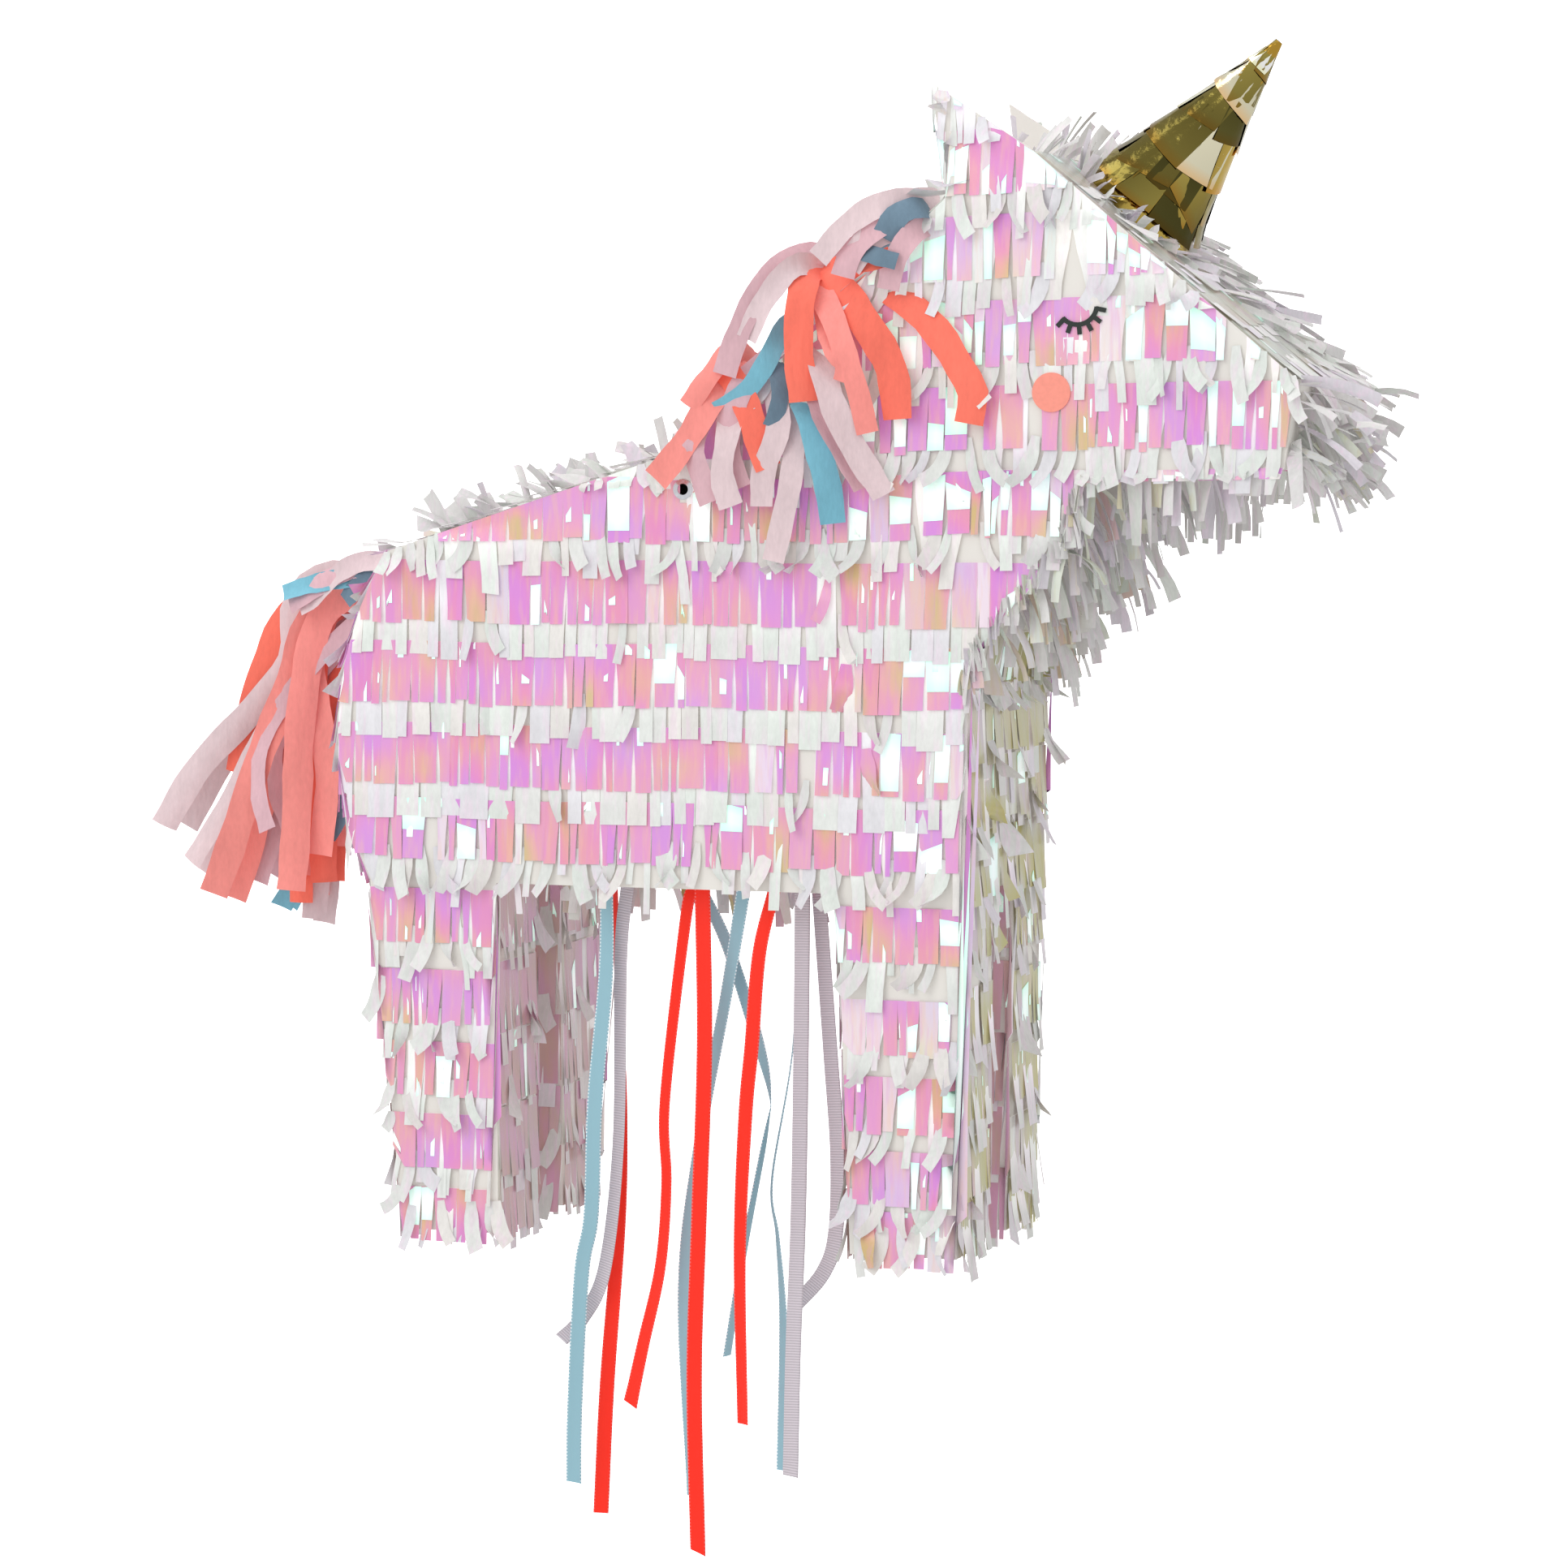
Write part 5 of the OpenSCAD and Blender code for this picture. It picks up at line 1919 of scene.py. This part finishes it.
@dataclass
class Mane(Tassels):
    """Four tissue tassels along the crest of the neck."""

    roots: tuple[float, ...] = (114, 78, 50, 26)

    def crest(self, x: float) -> float:
        """Height of the neck's crest at a place along the body, in metres."""
        a, b = self.body.edge_line("neck_strip")
        return float(np.interp(x, [a[0], b[0]], [a[1], b[1]]))

    def drape(self, rng: np.random.Generator, root: float, tone: Tone, width: float,
              route: Sequence[Sequence[float]], side: Side, jitter: float = 0.0) -> None:
        """Drapes a strand from the crest over one side of the neck.

        Args:
            rng: random numbers.
            root: where its root is along the body, in millimetres.
            tone: its colour.
            width: its width, in millimetres.
            route: the points that it passes, along and up, in millimetres.
            side: the side that it falls on.
            jitter: how far its route strays, in millimetres.
        """
        half = self.body.half_width() + rng.uniform(8.5, 13) * MM
        x0 = (root + rng.uniform(-8, 8)) * MM
        x0 = min(max(x0, 8 * MM), 118 * MM)
        shift = rng.normal(0, jitter, 2) if jitter else np.zeros(2)
        knots = [(x0, side.value * rng.uniform(4, 16) * MM, self.crest(x0) + 2 * MM)]
        for k, (x, z) in enumerate(route):
            share = (k + 1) / len(route)
            out = half * (0.5 + 0.5 * smooth(share, 0.0, 0.55))
            knots.append(((x + shift[0] * share) * MM, side.value * out, (z + shift[1] * share) * MM))
        facing = (0.3, side.value, 0.3)
        self.strand(rng, knots, tone, width * MM, facing, rng.normal(0, 0.12), rng.normal(0, 0.3))

    def build(self) -> None:
        """Makes the four tassels as one piece each."""
        coral, salmon, pink, blush, blue, shaded_blue = Tone
        plan = (
            (
                (blush, 11, ((110, 121), (95, 116), (82, 104), (78, 92))),
                (shaded_blue, 11, ((112, 122), (104, 119), (96, 109))),
                (pink, 11, ((112, 126), (96, 124), (80, 114), (66, 100))),
                (shaded_blue, 8, ((84, 106), (93, 101), (103, 98))),
                (coral, 8, ((84, 98), (92, 98), (99, 101))),
                (blush, 10, ((116, 118), (108, 110), (100, 98), (97, 86))),
                (pink, 12, ((104, 116), (90, 108), (80, 96))),
            ),
            (
                (pink, 12, ((60, 72), (71, 44), (83, 19), (96, -2))),
                (salmon, 11, ((62, 92), (75, 70), (85, 44), (90, 24))),
                (salmon, 10, ((64, 86), (74, 62), (80, 54), (78, 46))),
                (coral, 13, ((60, 97), (58, 84), (57, 62), (60, 38))),
                (coral, 14, ((66, 96), (84, 78), (98, 55), (102, 30))),
                (coral, 13, ((66, 97), (86, 91), (107, 81), (121, 68), (131, 51), (136, 42),
                             (134, 28))),
                (blush, 11, ((60, 104), (47, 96), (36, 81), (28, 65), (24, 50))),
                (pink, 10, ((56, 98), (44, 84), (34, 66))),
            ),
            (
                (pink, 11, ((41, 60), (48, 29), (41, 9), (40, -8))),
                (blush, 11, ((55, 66), (67, 33), (77, 15), (87, 1))),
                (pink, 10, ((50, 50), (55, 8), (51, -13), (46, -31))),
                (blue, 12, ((48, 50), (62, 30), (71, 3), (73, -15))),
                (shaded_blue, 8, ((45, 58), (49, 40), (44, 28))),
                (blue, 9, ((48, 74), (42, 54), (33, 43), (19, 35))),
                (blush, 12, ((44, 62), (30, 46), (24, 20), (30, 0))),
            ),
            (
                (pink, 12, ((24, 50), (26, 24), (24, 6), (28, -8))),
                (coral, 12, ((18, 56), (31, 40), (44, 10))),
                (salmon, 13, ((24, 58), (19, 42), (5, 20), (-9, 4))),
                (salmon, 10, ((26, 62), (16, 50), (6, 36))),
                (blush, 11, ((16, 42), (8, 22), (12, 4), (16, -6))),
            ),
        )
        for number, (root, strands) in enumerate(zip(self.roots, plan), start=1):
            rng = np.random.default_rng(60 + number)
            self.leaves = Leaves()
            for tone, width, route in strands:
                self.drape(rng, root, tone, width, route, Side.RIGHT)
                self.drape(rng, root, tone, width, route, Side.LEFT, jitter=9)
            self.arcs(rng, root)
            piece = self.leaves.build(f"mane_tassel_{number}_strands", STREAMER)
            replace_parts(piece, f"mane_tassel_{number}")

    def arcs(self, rng: np.random.Generator, root: float) -> None:
        """Adds the strands that run back along the crest and stand over it.

        Args:
            rng: random numbers.
            root: where they start along the body, in millimetres.
        """
        tones = (Tone.PINK, Tone.BLUSH, Tone.PINK, Tone.SALMON, Tone.BLUSH, Tone.PINK)
        for k, tone in enumerate(tones):
            x0 = (root + rng.uniform(-6, 10)) * MM
            x2 = max(x0 - rng.uniform(30, 52) * MM, -8 * MM)
            y = (k - 2.5) * 15 * MM
            z0, zm, z2 = self.crest(x0), self.crest((x0 + x2) / 2), self.crest(max(x2, 2 * MM))
            rise = rng.uniform(9, 15) * MM
            knots = [(x0, y * 0.3, z0 + 2 * MM), ((x0 * 2 + x2) / 3, y * 0.6, zm + rise + 8 * MM),
                     ((x0 + x2 * 2) / 3, y * 0.9, zm + rise * 0.5), (x2, y * 1.2, z2 + 4 * MM)]
            self.strand(rng, knots, tone, rng.uniform(9, 12) * MM, (0.1, -0.9, 0.7), 0.0,
                        rng.normal(0, 0.3))


@dataclass
class Tail(Tassels):
    """The tissue tassel on the rump."""

    def build(self) -> None:
        """Makes every strand of the tail."""
        rng = np.random.default_rng(71)
        _, high = (np.array(c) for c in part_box("tail_tassel"))
        root = np.array([high[0] - 4 * MM, 0.0, high[2] - 8 * MM])
        coral, salmon, pink, blush, blue, shaded_blue = Tone
        plan = (
            (coral, 14, 2, ((-178, -44), (-211, -51), (-228, -67), (-239, -99), (-250, -136))),
            (pink, 13, -6, ((-178, -42), (-194, -41), (-209, -46), (-217, -58), (-220, -82),
                            (-240, -106), (-266, -133), (-284, -162))),
            (coral, 13, -8, ((-176, -46), (-200, -56), (-206, -106), (-203, -150), (-201, -186))),
            (salmon, 14, -20, ((-180, -46), (-205, -62), (-213, -89), (-231, -132), (-252, -192))),
            (pink, 13, -4, ((-182, -46), (-209, -64), (-221, -94), (-245, -138), (-272, -178))),
            (blush, 13, 4, ((-180, -50), (-213, -72), (-222, -106), (-226, -142), (-240, -188))),
            (blue, 12, 8, ((-178, -60), (-203, -114), (-213, -169), (-231, -200))),
            (salmon, 14, -24, ((-180, -48), (-199, -62), (-206, -106), (-208, -142), (-211, -188))),
            (pink, 12, 4, ((-178, -62), (-201, -134), (-211, -205))),
            (coral, 12, 12, ((-174, -52), (-190, -66), (-193, -106), (-190, -144))),
            (blush, 9, -24, ((-190, -70), (-224, -112), (-228, -140), (-222, -160))),
            (shaded_blue, 10, -10, ((-172, -60), (-188, -100), (-192, -149), (-198, -163))),
            (coral, 12, -2, ((-176, -60), (-198, -100), (-214, -150), (-216, -196))),
            (salmon, 12, 16, ((-178, -46), (-204, -58), (-222, -100), (-238, -150), (-246, -176))),
            (salmon, 12, -14, ((-176, -44), (-196, -50), (-204, -80), (-196, -130), (-200, -172))),
        )
        for tone, width, y, route in plan:
            for shift in (0, 18):
                move = rng.normal(0, 4, 2) if shift else np.zeros(2)
                knots = [root + np.array([0, (y + shift) * 0.3 * MM, 0])]
                for k, (x, z) in enumerate(route):
                    share = (k + 1) / len(route)
                    knots.append(np.array([x + move[0] * share, (y + shift) * (0.4 + 0.6 * share),
                                           z + move[1] * share]) * MM)
                self.strand(rng, knots, tone, width * MM, (0.25, -1, 0.1), rng.normal(0, 0.12),
                            rng.normal(0, 0.3), 28)
        for tone, rise, reach in ((shaded_blue, 5, 30), (blue, 3, 62), (pink, 9, 54), (blush, 7, 58)):
            knots = [root + np.array([2, -6, 2]) * MM, root + np.array([-14, -18, rise]) * MM,
                     root + np.array([-reach * 0.55, -22, rise * 0.7]) * MM,
                     root + np.array([-reach, -24, -rise - 3]) * MM]
            self.strand(rng, knots, tone, 10 * MM, (0.2, -0.9, 0.4), 0.0, 0.15)
        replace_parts(self.leaves.build("tail_strands", STREAMER), "tail_tassel")


# ---------------------------------------------------------------- the board parts


@dataclass
class Carcass:
    """Gives the board, tape, stickers and eyelets their finishes."""

    frame: dict

    def build(self) -> None:
        """Assigns a finish to every CAD node that stays in view."""
        finishes = {"greyboard": BOARD, "horn_card": CARD, "gold_foil": UNDERFOIL, "clear_tape": TAPE,
                    "eyelet_metal": METAL, "lash_card": LASH, "cheek_card": CHEEK,
                    "iridescent_film": FILM, "white_tissue": TISSUE, "coral_tissue": STREAMER,
                    "pink_tissue": STREAMER, "red_satin": RibbonKind.RED.value,
                    "blue_satin": RibbonKind.BLUE.value, "lilac_grosgrain": RibbonKind.LILAC.value}
        slots = {part["node"]: part["material_slot"] for part in self.frame["record"]["subparts"]}
        for node, slot in slots.items():
            piece = self.frame["nodes"][node]
            piece.data.materials.clear()
            piece.data.materials.append(finishes[slot].material())
        LOG.info("%d nodes of the body have their finish", len(slots))


def main() -> None:
    """Builds the looks in order."""
    logging.basicConfig(level=logging.INFO, format="%(name)s: %(message)s")
    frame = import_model()
    body = Body(frame)
    Studio().build()
    Ribbons().build()
    Carcass(frame).build()
    for side in Side:
        SideFringe(body, side).build()
    LegFringe(body).build()
    EdgeFringe(body).build()
    Horn(body).build()
    Mane(body).build()
    Tail(body).build()


if __name__ == "__main__":
    main()
